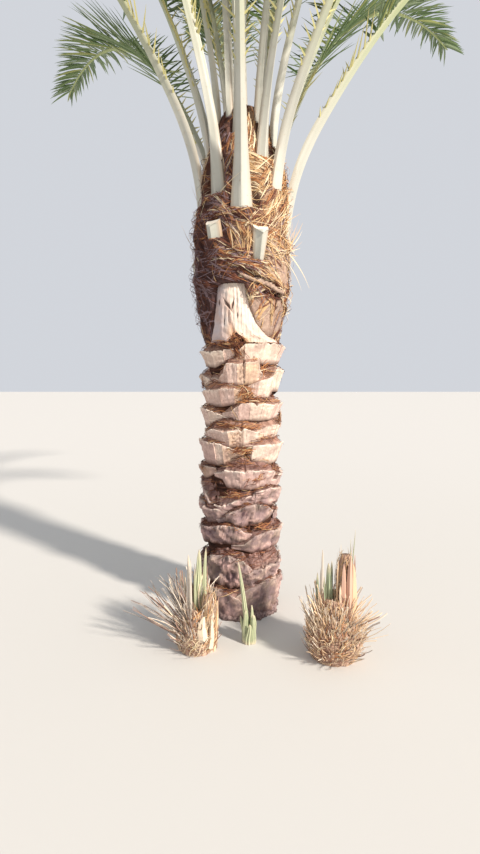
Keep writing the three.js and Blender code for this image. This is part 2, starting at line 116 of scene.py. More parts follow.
def add_piece(name, shape, material, replaced, crease=None):
    """A mesh object of (points, triangles, marks). Edges bent by more than the crease angle stay sharp."""
    points, triangles, marks = shape
    mesh = bpy.data.meshes.new(name)
    mesh.vertices.add(len(points))
    mesh.vertices.foreach_set("co", np.asarray(points, np.float32).ravel())
    mesh.loops.add(triangles.size)
    mesh.loops.foreach_set("vertex_index", np.asarray(triangles, np.int32).ravel())
    mesh.polygons.add(len(triangles))
    mesh.polygons.foreach_set("loop_start", np.arange(0, triangles.size, 3, dtype=np.int32))
    mesh.update(calc_edges=True)
    for mark, values in marks.items():
        kind, field = ("FLOAT_VECTOR", "vector") if values.ndim == 2 else ("FLOAT", "value")
        attribute = mesh.attributes.new(mark, kind, "POINT")
        attribute.data.foreach_set(field, np.asarray(values, np.float32).ravel())
    mesh.shade_smooth()
    if crease:
        mesh.set_sharp_from_angle(angle=math.radians(crease))
    mesh.materials.append(material)
    piece = bpy.data.objects.new(name, mesh)
    bpy.context.scene.collection.objects.link(piece)
    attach(piece, "root")
    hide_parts(*replaced)
    return piece


def feed(tree, socket, value):
    """Links a socket to the one that feeds it, or gives it a plain value"""
    if isinstance(value, bpy.types.NodeSocket):
        tree.links.new(value, socket)
    else:
        socket.default_value = value


def add_node(tree, kind, inputs=None, **settings):
    node = tree.nodes.new("ShaderNode" + kind)
    for setting, value in settings.items():
        setattr(node, setting, value)
    for name, value in (inputs or {}).items():
        feed(tree, node.inputs[name], value)
    return node


def blended(share, first, second):
    """The colour between two others at a share, as a node in the share's own tree"""
    return add_node(share.id_data, "Mix", {0: share, 6: first, 7: second}, data_type="RGBA").outputs[2]


def stretched(value, low, high, to_low=0.0, to_high=1.0):
    """A value's range from low to high, spread over another range and clamped"""
    inputs = {"Value": value, "From Min": low, "From Max": high, "To Min": to_low, "To Max": to_high}
    return add_node(value.id_data, "MapRange", inputs).outputs["Result"]


def worked_out(operation, first, second=0.5):
    tree = (first if isinstance(first, bpy.types.NodeSocket) else second).id_data
    return add_node(tree, "Math", {0: first, 1: second}, operation=operation).outputs[0]


def product(first, second):
    return worked_out("MULTIPLY", first, second)


def mark(tree, name, output="Fac"):
    """What a mesh says at its points under that name"""
    return add_node(tree, "Attribute", attribute_name=name).outputs[output]


def new_group(name, inputs, outputs):
    """A group and the sockets inside it. Inputs are numbers with a first value, or vectors that have none."""
    group = bpy.data.node_groups.new(name, "ShaderNodeTree")
    for label, value in inputs.items():
        kind = "Vector" if value is None else "Float"
        socket = group.interface.new_socket(label, in_out="INPUT", socket_type="NodeSocket" + kind)
        if value is not None:
            socket.default_value = value
    for label in outputs:
        group.interface.new_socket(label, in_out="OUTPUT", socket_type="NodeSocketFloat")
    return group, group.nodes.new("NodeGroupInput").outputs, group.nodes.new("NodeGroupOutput").inputs


def grain_group():
    """Fibres that run lengthwise. A place is metres across and along the grain, and the piece's number."""
    inputs = {"Place": None, "Fineness": 200.0, "Stretch": 10.0}
    group, given, result = new_group("Lengthwise grain", inputs, ["Streaks", "Height"])
    parts = add_node(group, "SeparateXYZ", {"Vector": given["Place"]}).outputs
    across = product(parts["X"], given["Fineness"])
    along = product(parts["Y"], worked_out("DIVIDE", given["Fineness"], given["Stretch"]))
    place = add_node(group, "CombineXYZ", {"X": across, "Y": along, "Z": parts["Z"]}).outputs["Vector"]
    broad = add_node(group, "TexNoise", {"Vector": place, "Scale": 0.22, "Detail": 4.0}).outputs["Fac"]
    fine = add_node(group, "TexNoise", {"Vector": place, "Scale": 1.0, "Detail": 3.0}).outputs["Fac"]
    feed(group, result["Streaks"], stretched(broad, 0.36, 0.64))
    feed(group, result["Height"], product(worked_out("ADD", broad, fine), 0.5))
    return group


def patches_group():
    """Blotches such as dirt, damp and bleaching, by place on the plant"""
    inputs = {"Size": 0.06, "Amount": 0.5, "Softness": 0.12}
    group, given, result = new_group("Weathered patches", inputs, ["Patches"])
    place = add_node(group, "TexCoord").outputs["Object"]
    scale = worked_out("DIVIDE", 1.0, given["Size"])
    noise = add_node(group, "TexNoise", {"Vector": place, "Scale": scale, "Detail": 5.0, "Roughness": 0.62})
    middle = worked_out("SUBTRACT", 0.8, product(given["Amount"], 0.6))
    low = worked_out("SUBTRACT", middle, given["Softness"])
    high = worked_out("ADD", middle, given["Softness"])
    feed(group, result["Patches"], stretched(noise.outputs["Fac"], low, high))
    return group


GRAIN = grain_group()
PATCHES = patches_group()


def grained(tree, fineness, stretch, place=None):
    """Lengthwise grain, at the mesh's own grain mark unless another place is given"""
    place = mark(tree, "grain", "Vector") if place is None else place
    inputs = {"Place": place, "Fineness": fineness, "Stretch": stretch}
    return add_node(tree, "Group", inputs, node_tree=GRAIN).outputs


def patches(tree, size, amount=0.5, softness=0.12):
    inputs = {"Size": size, "Amount": amount, "Softness": softness}
    return add_node(tree, "Group", inputs, node_tree=PATCHES).outputs["Patches"]


def new_finish(name, roughness, specular):
    """A material and its node tree"""
    material = bpy.data.materials.new(name)
    material.use_nodes = True
    shader = material.node_tree.nodes["Principled BSDF"]
    shader.inputs["Roughness"].default_value = roughness
    shader.inputs["Specular IOR Level"].default_value = specular
    return material, material.node_tree


def dressed(material, colour, height, depth, roughness=None):
    """The material with its colour, its relief of a depth in metres, and the roughness if it varies"""
    tree = material.node_tree
    sockets = tree.nodes["Principled BSDF"].inputs
    bump = add_node(tree, "Bump", {"Height": height, "Distance": depth, "Strength": 1.0})
    feed(tree, sockets["Base Color"], colour)
    feed(tree, sockets["Normal"], bump.outputs["Normal"])
    if roughness is not None:
        feed(tree, sockets["Roughness"], roughness)
    return material


def matted_fibre_finish():
    material, tree = new_finish("matted_fibre", 0.95, 0.1)
    grain = grained(tree, 260.0, 14.0)
    colour = blended(grain["Streaks"], MATTED_DARK, MATTED_BROWN)
    foot = blended(patches(tree, 0.022), FOOT_DARK, FOOT_GREY)
    colour = blended(mark(tree, "foot"), colour, foot)
    return dressed(material, colour, grain["Height"], 0.006)


def stem_shape():
    height = np.linspace(0, STEM_HEIGHTS[-1], STEM_ROWS)[:, None]
    azimuth = all_round(STEM_COLUMNS)
    radius = stem_radius(height) - 0.002
    plain = around_stem(radius, azimuth, height)
    uneven = unevenness(plain * [1, 1, 3], 0.09, 11)
    foot = 1 - smooth(height / FOOT_TOP)
    knots = np.abs(unevenness(plain, 0.035, 12)) * 0.016 * foot
    points = around_stem(radius + STEM_ROUGHNESS * (uneven - 0.6) + knots, azimuth, height)
    grain = (height, np.radians(azimuth) * radius, 0.0)
    points, triangles, marks = sheet(points, grain, closed=True, foot=foot)
    fan = [[(i + 1) % STEM_COLUMNS, i, len(points)] for i in range(STEM_COLUMNS)]
    marks = {"grain": np.concatenate([marks["grain"], [[0, 0, 0]]]), "foot": np.append(marks["foot"], 1)}
    return np.concatenate([points, [[0, 0, 0]]]), np.concatenate([triangles, fan]), marks


add_piece("stem", stem_shape(), matted_fibre_finish(), ["trunk"])


# The cut leaf bases clothe the stem in a spiral. Each is the broad woody foot of a leaf, its flank shaved
# with a knife and its top cut off aslant, which leaves a pale rim round a sunken brown face. They are fresh
# and pale high up, grey-brown and worn near the ground, with torn fibre of their sheaths in between.

LEAF_TURN = 137.5
LEAF_ZERO_AZIMUTH = 85
CUT_LEAF_RISE = (1.904, 0.044)
LIVING_LEAF_RISE = (1.978, 0.028)
TALL_BASE = -6
LOWEST_BASE = -43
BASE_HEIGHT = 0.15
BASE_STAND_OUT = 0.064
BASE_HALF_ANGLE = 68
WEATHERED_BELOW = 0.64
WORN_TILT = 0.058
LOWERED_BASES = {-8: 0.62}
FACET_COUNT = 5
COLUMNS_PER_FACET = 13
FLANK_ROWS = 12
CUT_ROWS = 9
EDGE_NICKS = 6
CUT_TOP_REACH = 0.03
RIM_THICKNESS = 0.006
WORN_RIM_THICKNESS = 0.018
RIM_ROWS = [
    # inward and upward in rim thicknesses, how much it is cut face, how much it is rim
    (0.12, 0.3, 0.15, 1),
    (0.45, 0.48, 0.3, 1),
    (0.85, 0.4, 0.5, 0.9),
    (1.15, 0.05, 0.8, 0.7),
]
# The faces that show to the front, corner by corner: azimuth, lower and upper height, and the kind of face as
# far as the next corner
FACE_CORNERS = {
    -8: [(-3, 1.545, 1.6, "gold"), (4, 1.522, 1.628, "cream"), (30, 1.518, 1.636, "cream"),
         (62, 1.522, 1.634, "pink"), (86, 1.53, 1.63, "cream")],
    -9: [(-76, 1.512, 1.6, "cream"), (-44, 1.499, 1.592, "cream"), (-27, 1.526, 1.6, "pink"),
         (-13, 1.553, 1.602, "torn")],
    -11: [(-36, 1.412, 1.432, "pink"), (-20, 1.38, 1.52, "pink"), (-6, 1.39, 1.516, "stained"),
          (5, 1.398, 1.527, "gold"), (22, 1.398, 1.528, "cream"), (30, 1.412, 1.45, "pink")],
    -13: [(16, 1.335, 1.405, "pink"), (25, 1.318, 1.422, "cream"), (44, 1.312, 1.44, "cream"),
          (58, 1.36, 1.502, "cream"), (84, 1.36, 1.49, "pink"), (112, 1.34, 1.46, "cream"),
          (142, 1.35, 1.44, "pink")],
    -14: [(-72, 1.27, 1.37, "pink"), (-31, 1.272, 1.37, "grey"), (-10, 1.285, 1.378, "gold"),
          (6, 1.302, 1.366, "torn"), (20, 1.306, 1.335, "torn")],
    -16: [(-14, 1.204, 1.246, "pink"), (-4, 1.187, 1.286, "grey"), (12, 1.192, 1.297, "cream"),
          (29, 1.19, 1.287, "cream"), (47, 1.193, 1.28, "pink"), (75, 1.2, 1.295, "cream")],
    -18: [(24, 1.09, 1.128, "pink"), (36, 1.08, 1.152, "cream"), (60, 1.074, 1.165, "cream"),
          (84, 1.08, 1.15, "cream"), (116, 1.1, 1.2, "pink"), (150, 1.1, 1.21, "cream"),
          (186, 1.11, 1.19, "pink")],
    -19: [(-66, 1.05, 1.11, "pink"), (-43, 1.028, 1.14, "pink"), (-17, 1.033, 1.132, "stained"),
          (3, 1.042, 1.15, "cream"), (26, 1.06, 1.12, "gold")],
    -21: [(3, 1.025, 1.045, "torn"), (16, 0.955, 1.05, "cream"), (54, 0.925, 1.046, "cream"),
          (84, 0.93, 1.05, "pink")],
    -24: [(-30, 0.842, 0.884, "pink"), (-22, 0.8, 0.905, "pink"), (-1, 0.79, 0.9, "grey"),
          (24, 0.785, 0.9, "pink"), (50, 0.8, 0.89, "cream")],
    -27: [(-96, 0.7, 0.83, "pink"), (-72, 0.68, 0.79, "pink"), (-57, 0.655, 0.7, "pink"),
          (-36, 0.645, 0.68, "pink"), (-16, 0.655, 0.702, "grey"), (2, 0.69, 0.74, "pink"),
          (16, 0.7, 0.75, "pink")],
    -29: [(12, 0.69, 0.715, "pink"), (21, 0.68, 0.772, "pink"), (42, 0.68, 0.788, "cream"),
          (62, 0.685, 0.775, "cream"), (90, 0.66, 0.76, "pink"), (122, 0.65, 0.74, "pink")],
    -32: [(-30, 0.57, 0.6, "grey"), (-14, 0.56, 0.65, "grey"), (8, 0.575, 0.69, "pink"),
          (24, 0.565, 0.702, "pink"), (42, 0.585, 0.68, "pink"), (56, 0.6, 0.64, "pink")],
    -34: [(6, 0.42, 0.46, "pink"), (20, 0.405, 0.512, "pink"), (45, 0.41, 0.525, "cream"),
          (75, 0.41, 0.51, "pink"), (110, 0.42, 0.53, "pink"), (150, 0.42, 0.51, "pink")],
    -35: [(-104, 0.42, 0.52, "pink"), (-74, 0.43, 0.53, "grey"), (-45, 0.45, 0.55, "grey"),
          (-24, 0.455, 0.572, "pink"), (-4, 0.46, 0.565, "pink"), (7, 0.48, 0.53, "pink")],
    -37: [(2, 0.2, 0.26, "pink"), (15, 0.19, 0.305, "grey"), (38, 0.185, 0.32, "grey"),
          (62, 0.2, 0.31, "pink"), (95, 0.22, 0.34, "pink")],
    -40: [(-66, 0.2, 0.33, "grey"), (-42, 0.19, 0.385, "grey"), (-16, 0.2, 0.395, "grey"),
          (6, 0.21, 0.36, "pink"), (20, 0.23, 0.3, "pink")],
    -42: [(-16, 0.05, 0.12, "pink"), (6, 0.03, 0.185, "pink"), (38, 0.02, 0.235, "pink"),
          (72, 0.02, 0.23, "pink"), (105, 0.02, 0.2, "grey"), (138, 0.03, 0.17, "pink")],
    -43: [(-138, 0, 0.14, "pink"), (-104, 0, 0.18, "grey"), (-62, 0, 0.19, "grey"),
          (-30, 0, 0.185, "pink"), (-2, 0, 0.14, "pink")],
}
# How pink, how golden and how torn each kind of face is
FACE_KINDS = {
    "cream": (0.08, 0.06, 0),
    "pink": (0.75, 0, 0),
    "gold": (0.1, 0.8, 0),
    # Painted shade: grey faces are the full pink, the darkest of the plain faces, and in the corners above
    # they mark faces that lie in shadow; drawn at random elsewhere, they are a plain tone.
    "grey": (1, -0.3, 0),
    "stained": (0.4, 0.5, 0.45),
    "torn": (0.5, 0.3, 1),
}
# How common each kind is where the faces don't show to the front
FACE_KIND_SHARES = [0.36, 0.24, 0.12, 0.1, 0.06, 0.12]
TORN_DEPTH = 0.013
TORN_FIBRES = 60
FRESH_FACE = (0.93, 0.8, 0.66, 1)
PINK_FACE = (0.73, 0.53, 0.46, 1)
GOLD_FACE = (0.87, 0.6, 0.36, 1)
TAN_FACE = (0.6, 0.39, 0.31, 1)
WORN_FLANK = (0.66, 0.43, 0.385, 1)
# Painted shade in the hollows between the swells of worn bases
HOLLOW_PAINTED_SHADE = (0.14, 0.085, 0.095, 1)
CUT_TAN = (0.42, 0.24, 0.175, 1)
CUT_BROWN = (0.24, 0.12, 0.095, 1)
TORN_ORANGE = (0.46, 0.2, 0.1, 1)
PALE_RIM = (0.92, 0.8, 0.68, 1)
MOSS_GREY = (0.28, 0.24, 0.165, 1)
MAUVE = (0.21, 0.135, 0.16, 1)
BASE_FIBRES = 130
# Where lengths round the trunk turn into degrees
USUAL_RADIUS = 0.26
TANGLE_STAND_OUT = 0.046
LEAF_BASES = range(TALL_BASE - 1, LOWEST_BASE - 1, -1)
TANGLES = [
    # azimuth, height and their spreads, count, slope and its spread
    (31, 1.495, 3, 0.017, 26, 50, 40),
    (6, 1.355, 5, 0.018, 64, 10, 50),
    (18, 1.308, 9, 0.005, 26, -8, 8),
    (-22, 1.165, 9, 0.007, 50, -4, 10),
    (10, 1.158, 8, 0.008, 44, 5, 20),
    (-2, 1.018, 8, 0.007, 44, 5, 24),
    (22, 0.86, 6, 0.012, 50, 20, 24),
    (-4, 0.76, 8, 0.012, 50, 0, 24),
    (32, 0.57, 6, 0.006, 30, 10, 20),
    (-100, 1.42, 7, 0.02, 90, 20, 50),
    (95, 1.2, 7, 0.02, 90, -20, 50),
    (150, 1.5, 7, 0.02, 90, 30, 50),
    (-155, 1.25, 7, 0.02, 90, 0, 50),
    (175, 0.95, 8, 0.014, 70, 10, 40),
    (-78, 0.9, 7, 0.012, 40, 30, 30),
]
FIBRE_TONES = {
    "dark": (0.07, 0.024, 0.016, 1),
    "maroon": (0.17, 0.06, 0.035, 1),
    "orange": (0.42, 0.18, 0.07, 1),
    "golden": (0.62, 0.4, 0.2, 1),
    "straw": (0.8, 0.65, 0.43, 1),
    "mauve": (0.25, 0.17, 0.18, 1),
    "tan": (0.5, 0.36, 0.27, 1),
}


UP = np.array([0, 0, 1.0])


def mix(first, second, share):
    return first + (second - first) * share


def outward(azimuth):
    turn = np.radians(azimuth)
    return np.stack([np.sin(turn), -np.cos(turn), np.zeros_like(turn)], axis=-1)


def repeated(points, grain, closed=False):
    """Many grids alike, from their points and grain as (count, rows, columns, 3)"""
    count, rows, columns = points.shape[:3]
    starts = np.arange(count)[:, None, None] * rows * columns
    triangles = (grid_triangles(rows, columns, closed) + starts).reshape(-1, 3)
    return points.reshape(-1, 3), triangles, {"grain": grain.reshape(-1, 3)}


def joined(parts):
    """Several (points, triangles, marks) as one"""
    starts = np.cumsum([0] + [len(points) for points, _, _ in parts])
    points = np.concatenate([points for points, _, _ in parts])
    triangles = np.concatenate([part[1] + start for part, start in zip(parts, starts)])
    marks = {name: np.concatenate([part[2][name] for part in parts]) for name in parts[0][2]}
    return points, triangles, marks


def wobble(leaf, purpose):
    """A repeatable number from -1 to 1 for a leaf and a purpose"""
    wave = math.sin(leaf * 12.9898 + purpose * 78.233) * 43758.5453
    return 2 * (wave - math.floor(wave)) - 1


def leaf_azimuth(leaf):
    return LEAF_ZERO_AZIMUTH + LEAF_TURN * leaf


def leaf_height(leaf):
    start, rise = CUT_LEAF_RISE if leaf < 0 else LIVING_LEAF_RISE
    return start + leaf * rise


class LeafBase:
    """The lines of one cut leaf base at shares from -1 to 1 across it"""

    def __init__(self, leaf):
        self.leaf = leaf
        self.foot = leaf_height(leaf)
        self.weathered = self.foot < WEATHERED_BELOW
        self.azimuth = leaf_azimuth(leaf) + 4 * wobble(leaf, 1)
        self.height = BASE_HEIGHT * (1 + 0.1 * wobble(leaf, 2)) * LOWERED_BASES.get(leaf, 1)
        self.edge_share = 0.62 if self.weathered else 0.76 + 0.06 * wobble(leaf, 3)
        self.stand_out = BASE_STAND_OUT + 0.006 * wobble(leaf, 4) - (0.006 if self.weathered else 0)
        self.half_angle = BASE_HALF_ANGLE + 5 * wobble(leaf, 5)
        self.age = float(1 - smooth((self.foot - 0.42) / 0.8))
        self.tilt = WORN_TILT * wobble(leaf, 6) * self.age

    def lines(self, across):
        """Azimuth, foot, edge and top heights, stem radius and stand-out"""
        full = np.cos(across * math.pi / 2).clip(0, 1)
        azimuth = self.azimuth + across * self.half_angle
        top = self.foot + self.height * (0.7 + 0.3 * full) + self.tilt * across
        foot = np.maximum(self.foot - 0.014 * full + self.tilt * across, 0)
        edge = mix(foot, top, self.edge_share)
        out = self.stand_out * (0.1 + 0.9 * full**0.35)
        return azimuth, foot, edge, top, stem_radius(edge), out


def face_ends(base, chance):
    """Share across, foot, edge and stand-out at both ends of each facet, and what each facet is like"""
    if base.leaf in FACE_CORNERS:
        corners = FACE_CORNERS[base.leaf]
        middle = base.azimuth - 360 * round((base.azimuth - corners[0][0]) / 360)
        across = np.array([(azimuth - middle) / base.half_angle for azimuth, *_ in corners])
        across = np.concatenate([[min(-1, across[0] - 0.3)], across, [max(1, across[-1] + 0.3)]])
        _, feet, edges, _, _, out = base.lines(across)
        feet[1:-1] = [corner[1] for corner in corners]
        edges[1:-1] = [corner[2] for corner in corners]
        feet[[0, -1]] = feet[[1, -2]] + 0.01
        edges[[0, -1]] = feet[[0, -1]] + 0.02
        kinds = [corners[0][3]] + [corner[3] for corner in corners]
        ends = np.repeat(np.arange(len(across)), 2)[1:-1]
        tall = np.clip((edges - feet) / 0.1, 0.25, 1) ** 0.5
        out = np.maximum(out, 0.8 * base.stand_out) * tall
        out[[0, -1]] = 0.1 * base.stand_out
        out = out[ends] * (1 + 0.06 * chance.uniform(-1, 1, len(ends)))
        return across[ends], feet[ends], edges[ends], out, np.array([FACE_KINDS[kind] for kind in kinds])
    age = base.age
    corners = np.linspace(-1, 1, FACET_COUNT + 1)
    corners[1:-1] += chance.uniform(-0.14, 0.14, FACET_COUNT - 1)
    across = np.stack([corners[:-1], corners[1:]], axis=1).ravel()
    full = np.cos(across * math.pi / 2).clip(0, 1)
    _, feet, edges, _, _, out = base.lines(across)
    own = np.repeat(chance.uniform(-1, 1, FACET_COUNT), 2)
    out = out * (1 + (1 - 0.5 * age) * (0.1 * own + chance.uniform(-0.13, 0.13, len(across))) * full**0.5)
    own = np.repeat(chance.uniform(-1, 1, FACET_COUNT), 2)
    ragged = 0.014 * own + chance.uniform(-0.01, 0.01, len(across))
    beside = base.height * (1 - full) ** 1.3
    edges = edges + ragged * full**0.4 * (1 - 0.4 * age) - 0.2 * beside * (1 - 2 * age)
    feet = feet + chance.uniform(-0.006, 0.006, len(across)) * full**0.5 + (0.26 + 0.16 * age) * beside
    kinds = chance.choice(list(FACE_KINDS), FACET_COUNT, p=FACE_KIND_SHARES)
    return across, feet, edges, out, np.array([FACE_KINDS[kind] for kind in kinds])


def cut_leaf_base(leaf):
    base = LeafBase(leaf)
    age = base.age
    chance = np.random.default_rng(500 - leaf)
    ends, foot, edge, out, kinds = face_ends(base, chance)
    azimuth = base.lines(ends)[0]
    core = stem_radius(edge)
    facet_count = len(kinds)
    count = facet_count * COLUMNS_PER_FACET
    within = np.linspace(0, 1, COLUMNS_PER_FACET)
    steps = (np.arange(facet_count)[:, None] * 2 + within[None, :]).ravel()
    number = np.arange(2 * facet_count)
    across = np.interp(steps, number, ends)
    turn, _, _, top_full, core_full, _ = base.lines(across)
    away = outward(turn)
    full = np.cos(across * math.pi / 2).clip(0, 1)

    def line_between(radius, heights):
        """Straight chords across each facet where the base is fresh, a worn round line where it is old"""
        chords = around_stem(radius, azimuth, heights)
        chords = np.stack([np.interp(steps, number, chords[:, i]) for i in range(3)], axis=-1)
        round_line = around_stem(np.interp(across, ends, radius), turn, np.interp(across, ends, heights))
        return mix(chords, round_line, 0.8 * age)

    foot_line = line_between(core + 0.34 * out, foot)
    edge_line = line_between(core + out, edge)
    top = np.maximum(top_full, np.interp(across, ends, edge) + 0.02) + CUT_TOP_REACH
    top_line = around_stem(core_full - CUT_TOP_REACH, turn, top)

    ragged = 0.002 * unevenness(edge_line, 0.02, 700 - leaf) + 0.003 * unevenness(edge_line, 0.09, 800 - leaf)
    for _ in range(EDGE_NICKS):
        place = chance.uniform(-0.9, 0.9)
        half = chance.uniform(0.015, 0.06)
        depth = chance.uniform(0.004, 0.02)
        ragged = ragged - depth * (1 - np.abs(across - place) / half).clip(0, 1)
    edge_line[:, 2] += ragged * full**0.3 * (1 - 0.5 * age)
    edge_line -= away * (0.5 * np.abs(ragged) * full)[:, None]

    facet = np.arange(count) // COLUMNS_PER_FACET
    hollow = chance.uniform(0.001, 0.006, facet_count)[facet] * (1 - age) - 0.006 * age * full
    pinkish, golden, torn = kinds[facet].T
    torn = torn * np.clip(4 * np.minimum(steps - 2 * facet, 1 - steps + 2 * facet), 0, 1)
    rows = []
    for share in np.linspace(0, 1, FLANK_ROWS):
        row = mix(foot_line, edge_line, share)
        scored = 0.0012 * unevenness(row * [9, 9, 0.6], 0.1, 900 - leaf)
        knife = 0.002 * unevenness(row * [0.5, 0.5, 3], 0.06, 950 - leaf)
        tear = torn * (0.55 + 0.6 * unevenness(row * [1, 1, 2.5], 0.03, 1200 - leaf)).clip(0, 1)
        sunken = hollow * math.sin(math.pi * share) + TORN_DEPTH * tear * min(1, 5 * (1 - share), 5 * share)
        row = row + away * ((scored + knife) * (1 - 0.5 * age) - sunken)[:, None]
        # The share of the way up the flank is kept as the flank mark, which darkens the flank's foot in the
        # finish: painted shade and dirt.
        rows.append((row, 0.0, max(0.0, (share - 0.88) / 0.12) * 0.8, share, tear))
    lip = mix(RIM_THICKNESS, WORN_RIM_THICKNESS, age) * (0.35 + 0.65 * full)[:, None]
    for inward, rise, cutness, rimness in RIM_ROWS:
        rows.append((edge_line - away * lip * inward + UP * lip * rise, cutness, rimness, 1.0, 0 * torn))
    inner = rows[-1][0] - away * lip * 0.2 - UP * lip * 0.4
    for share in np.linspace(0.06, 1, CUT_ROWS):
        row = mix(inner, top_line, share)
        sunken = 0.007 * math.sin(math.pi * min(1.0, share * 1.6)) if share < 0.62 else 0.0
        pith = 0.0022 * unevenness(row, 0.02, 1000 - leaf, octaves=2)
        row = row - (away * 0.6 + UP * 0.8) * (sunken * (1 - 0.4 * age) + pith)[:, None]
        rows.append((row, 1.0, 0.3 if share < 0.1 else 0.0, 1.0, 0 * torn))
    points, cut, rim, flank, tears = map(np.array, zip(*rows))
    swells = 0.013 * unevenness(points, 0.09, 60 - leaf)
    lumpy = age * (swells + 0.003 * unevenness(points, 0.028, 160 - leaf))
    points = points + away[None] * (lumpy * full[None])[..., None]
    points[..., 2] = np.maximum(points[..., 2], 0)
    along = np.arange(len(points))[:, None] * 0.01
    grain = (np.radians(turn) * 0.25, along, leaf * 3.7)
    # The lump mark, how far a worn base swells out, sets its painted shade and painted highlight in the
    # finish.
    return sheet(points, grain, cut=cut[:, None], rim=rim[:, None], age=age, pinkish=pinkish, golden=golden,
                 torn=tears, flank=flank[:, None], lump=lumpy / 0.011)


def cut_leaf_base_finish():
    material, tree = new_finish("cut_leaf_base", 0.82, 0.2)
    place = mark(tree, "grain", "Vector")
    age = mark(tree, "age")
    grain = grained(tree, 300.0, 16.0, place)
    parts = add_node(tree, "SeparateXYZ", {0: place}).outputs
    crosswise = add_node(tree, "CombineXYZ", {0: parts[1], 1: parts[0], 2: parts[2]}).outputs[0]
    stains = patches(tree, 0.055, softness=0.08)
    blush = patches(tree, 0.11, 0.55, 0.1)
    specks = patches(tree, 0.014, 0.42)
    fresh = blended(mark(tree, "pinkish"), FRESH_FACE, PINK_FACE)
    fresh = blended(mark(tree, "golden"), fresh, GOLD_FACE)
    fresh = blended(product(blush, 0.3), fresh, PINK_FACE)
    fresh = blended(stretched(grain["Streaks"], 0, 1, 0, 0.4), fresh, TAN_FACE)
    fresh = blended(product(stains, 0.3), fresh, CUT_BROWN)
    slits = grained(tree, 170.0, 7.0, crosswise)["Streaks"]
    torn = blended(stretched(slits, 0.3, 0.6), MATTED_BROWN, TORN_ORANGE)
    torn = blended(stretched(slits, 0.72, 0.9, 0, 0.7), torn, FRESH_FACE)
    fresh = blended(stretched(mark(tree, "torn"), 0.15, 0.5), fresh, torn)
    # Worn flanks: painted shade towards the hollows between their swells and a painted highlight on the
    # swells, set by the lump mark, with moss and mauve stains over them.
    worn_and_shaded = blended(stretched(mark(tree, "lump"), -1.0, 0.7), HOLLOW_PAINTED_SHADE, WORN_FLANK)
    mossy = product(product(blush, 0.6), stretched(age, 0.75, 1.0))
    worn_and_shaded = blended(mossy, worn_and_shaded, MOSS_GREY)
    worn_and_shaded = blended(product(stains, 0.6), worn_and_shaded, MAUVE)
    flank = blended(age, fresh, worn_and_shaded)
    # Painted shade and dirt: the lowest quarter of each flank, where it tucks in against the stem, darkens to
    # matted brown.
    flank = blended(stretched(mark(tree, "flank"), 0.0, 0.26, 0.9, 0.0), flank, MATTED_BROWN)
    face = blended(stretched(age, 0.0, 0.4), CUT_TAN, CUT_BROWN)
    face = blended(product(specks, 0.7), face, TAN_FACE)
    face = blended(product(stains, stretched(age, 0, 1, 0.4, 0.75)), face, MATTED_BROWN)
    face = blended(product(age, 0.4), face, worn_and_shaded)
    colour = blended(mark(tree, "cut"), flank, face)
    rim = product(mark(tree, "rim"), stretched(age, 0.3, 1, 1.0, 0.3))
    colour = blended(product(rim, stretched(stains, 0, 1, 1.0, 0.3)), colour, PALE_RIM)
    colour = blended(product(specks, 0.25), colour, MATTED_BROWN)
    return dressed(material, colour, grain["Height"], 0.0035)


def plain_finish(name, colour, shine, grain_size, rough, depth):
    """One plain colour, with grain in its roughness and relief. Shine is roughness and specular level."""
    material, tree = new_finish(name, *shine)
    grain = grained(tree, *grain_size)
    return dressed(material, colour, grain["Height"], depth, stretched(grain["Streaks"], 0, 1, *rough))


FIBRE_FINISHES = {
    tone: plain_finish(f"fibre_{tone}", colour, (0.7, 0.25), (1800.0, 20.0), (0.55, 0.9), 0.0008)
    for tone, colour in FIBRE_TONES.items()
}


class Strands:
    """Flat fibres gathered by tone, each a narrow ribbon with a raised middle"""

    def __init__(self):
        self.parts = {}

    def add(self, tones, line, away, width):
        """Fibres of the tones given: line and away are (count, stations, 3), width is (count, stations)"""
        for tone in np.unique(tones):
            own = tones == tone
            part = self.ribbons(line[own], away[own], width[own, :, None])
            self.parts.setdefault(str(tone), []).append(part)

    def ribbons(self, line, away, width):
        forward = np.gradient(line, axis=1)
        side = np.cross(forward, away)
        side /= np.linalg.norm(side, axis=-1, keepdims=True) + 1e-12
        half = 0.5 * width
        points = np.stack([line - side * half, line + away * half * 0.7, line + side * half], axis=2)
        lengths = np.linalg.norm(forward, axis=-1).cumsum(axis=1)[..., None]
        number = np.arange(len(line))[:, None, None] * 1.7
        return repeated(points, laid_out(points.shape[:3], np.array([-0.5, 0, 0.5]) * width, lengths, number))

    def finish(self, prefix, slot, replaced):
        for tone, parts in sorted(self.parts.items()):
            add_piece(f"{prefix}_{tone}", joined(parts), FIBRE_FINISHES[tone], replaced)


def drawn_tones(chance, count, **shares):
    """A tone for each of so many fibres, drawn by the tones' shares"""
    return chance.choice(list(shares), count, p=list(shares.values()))


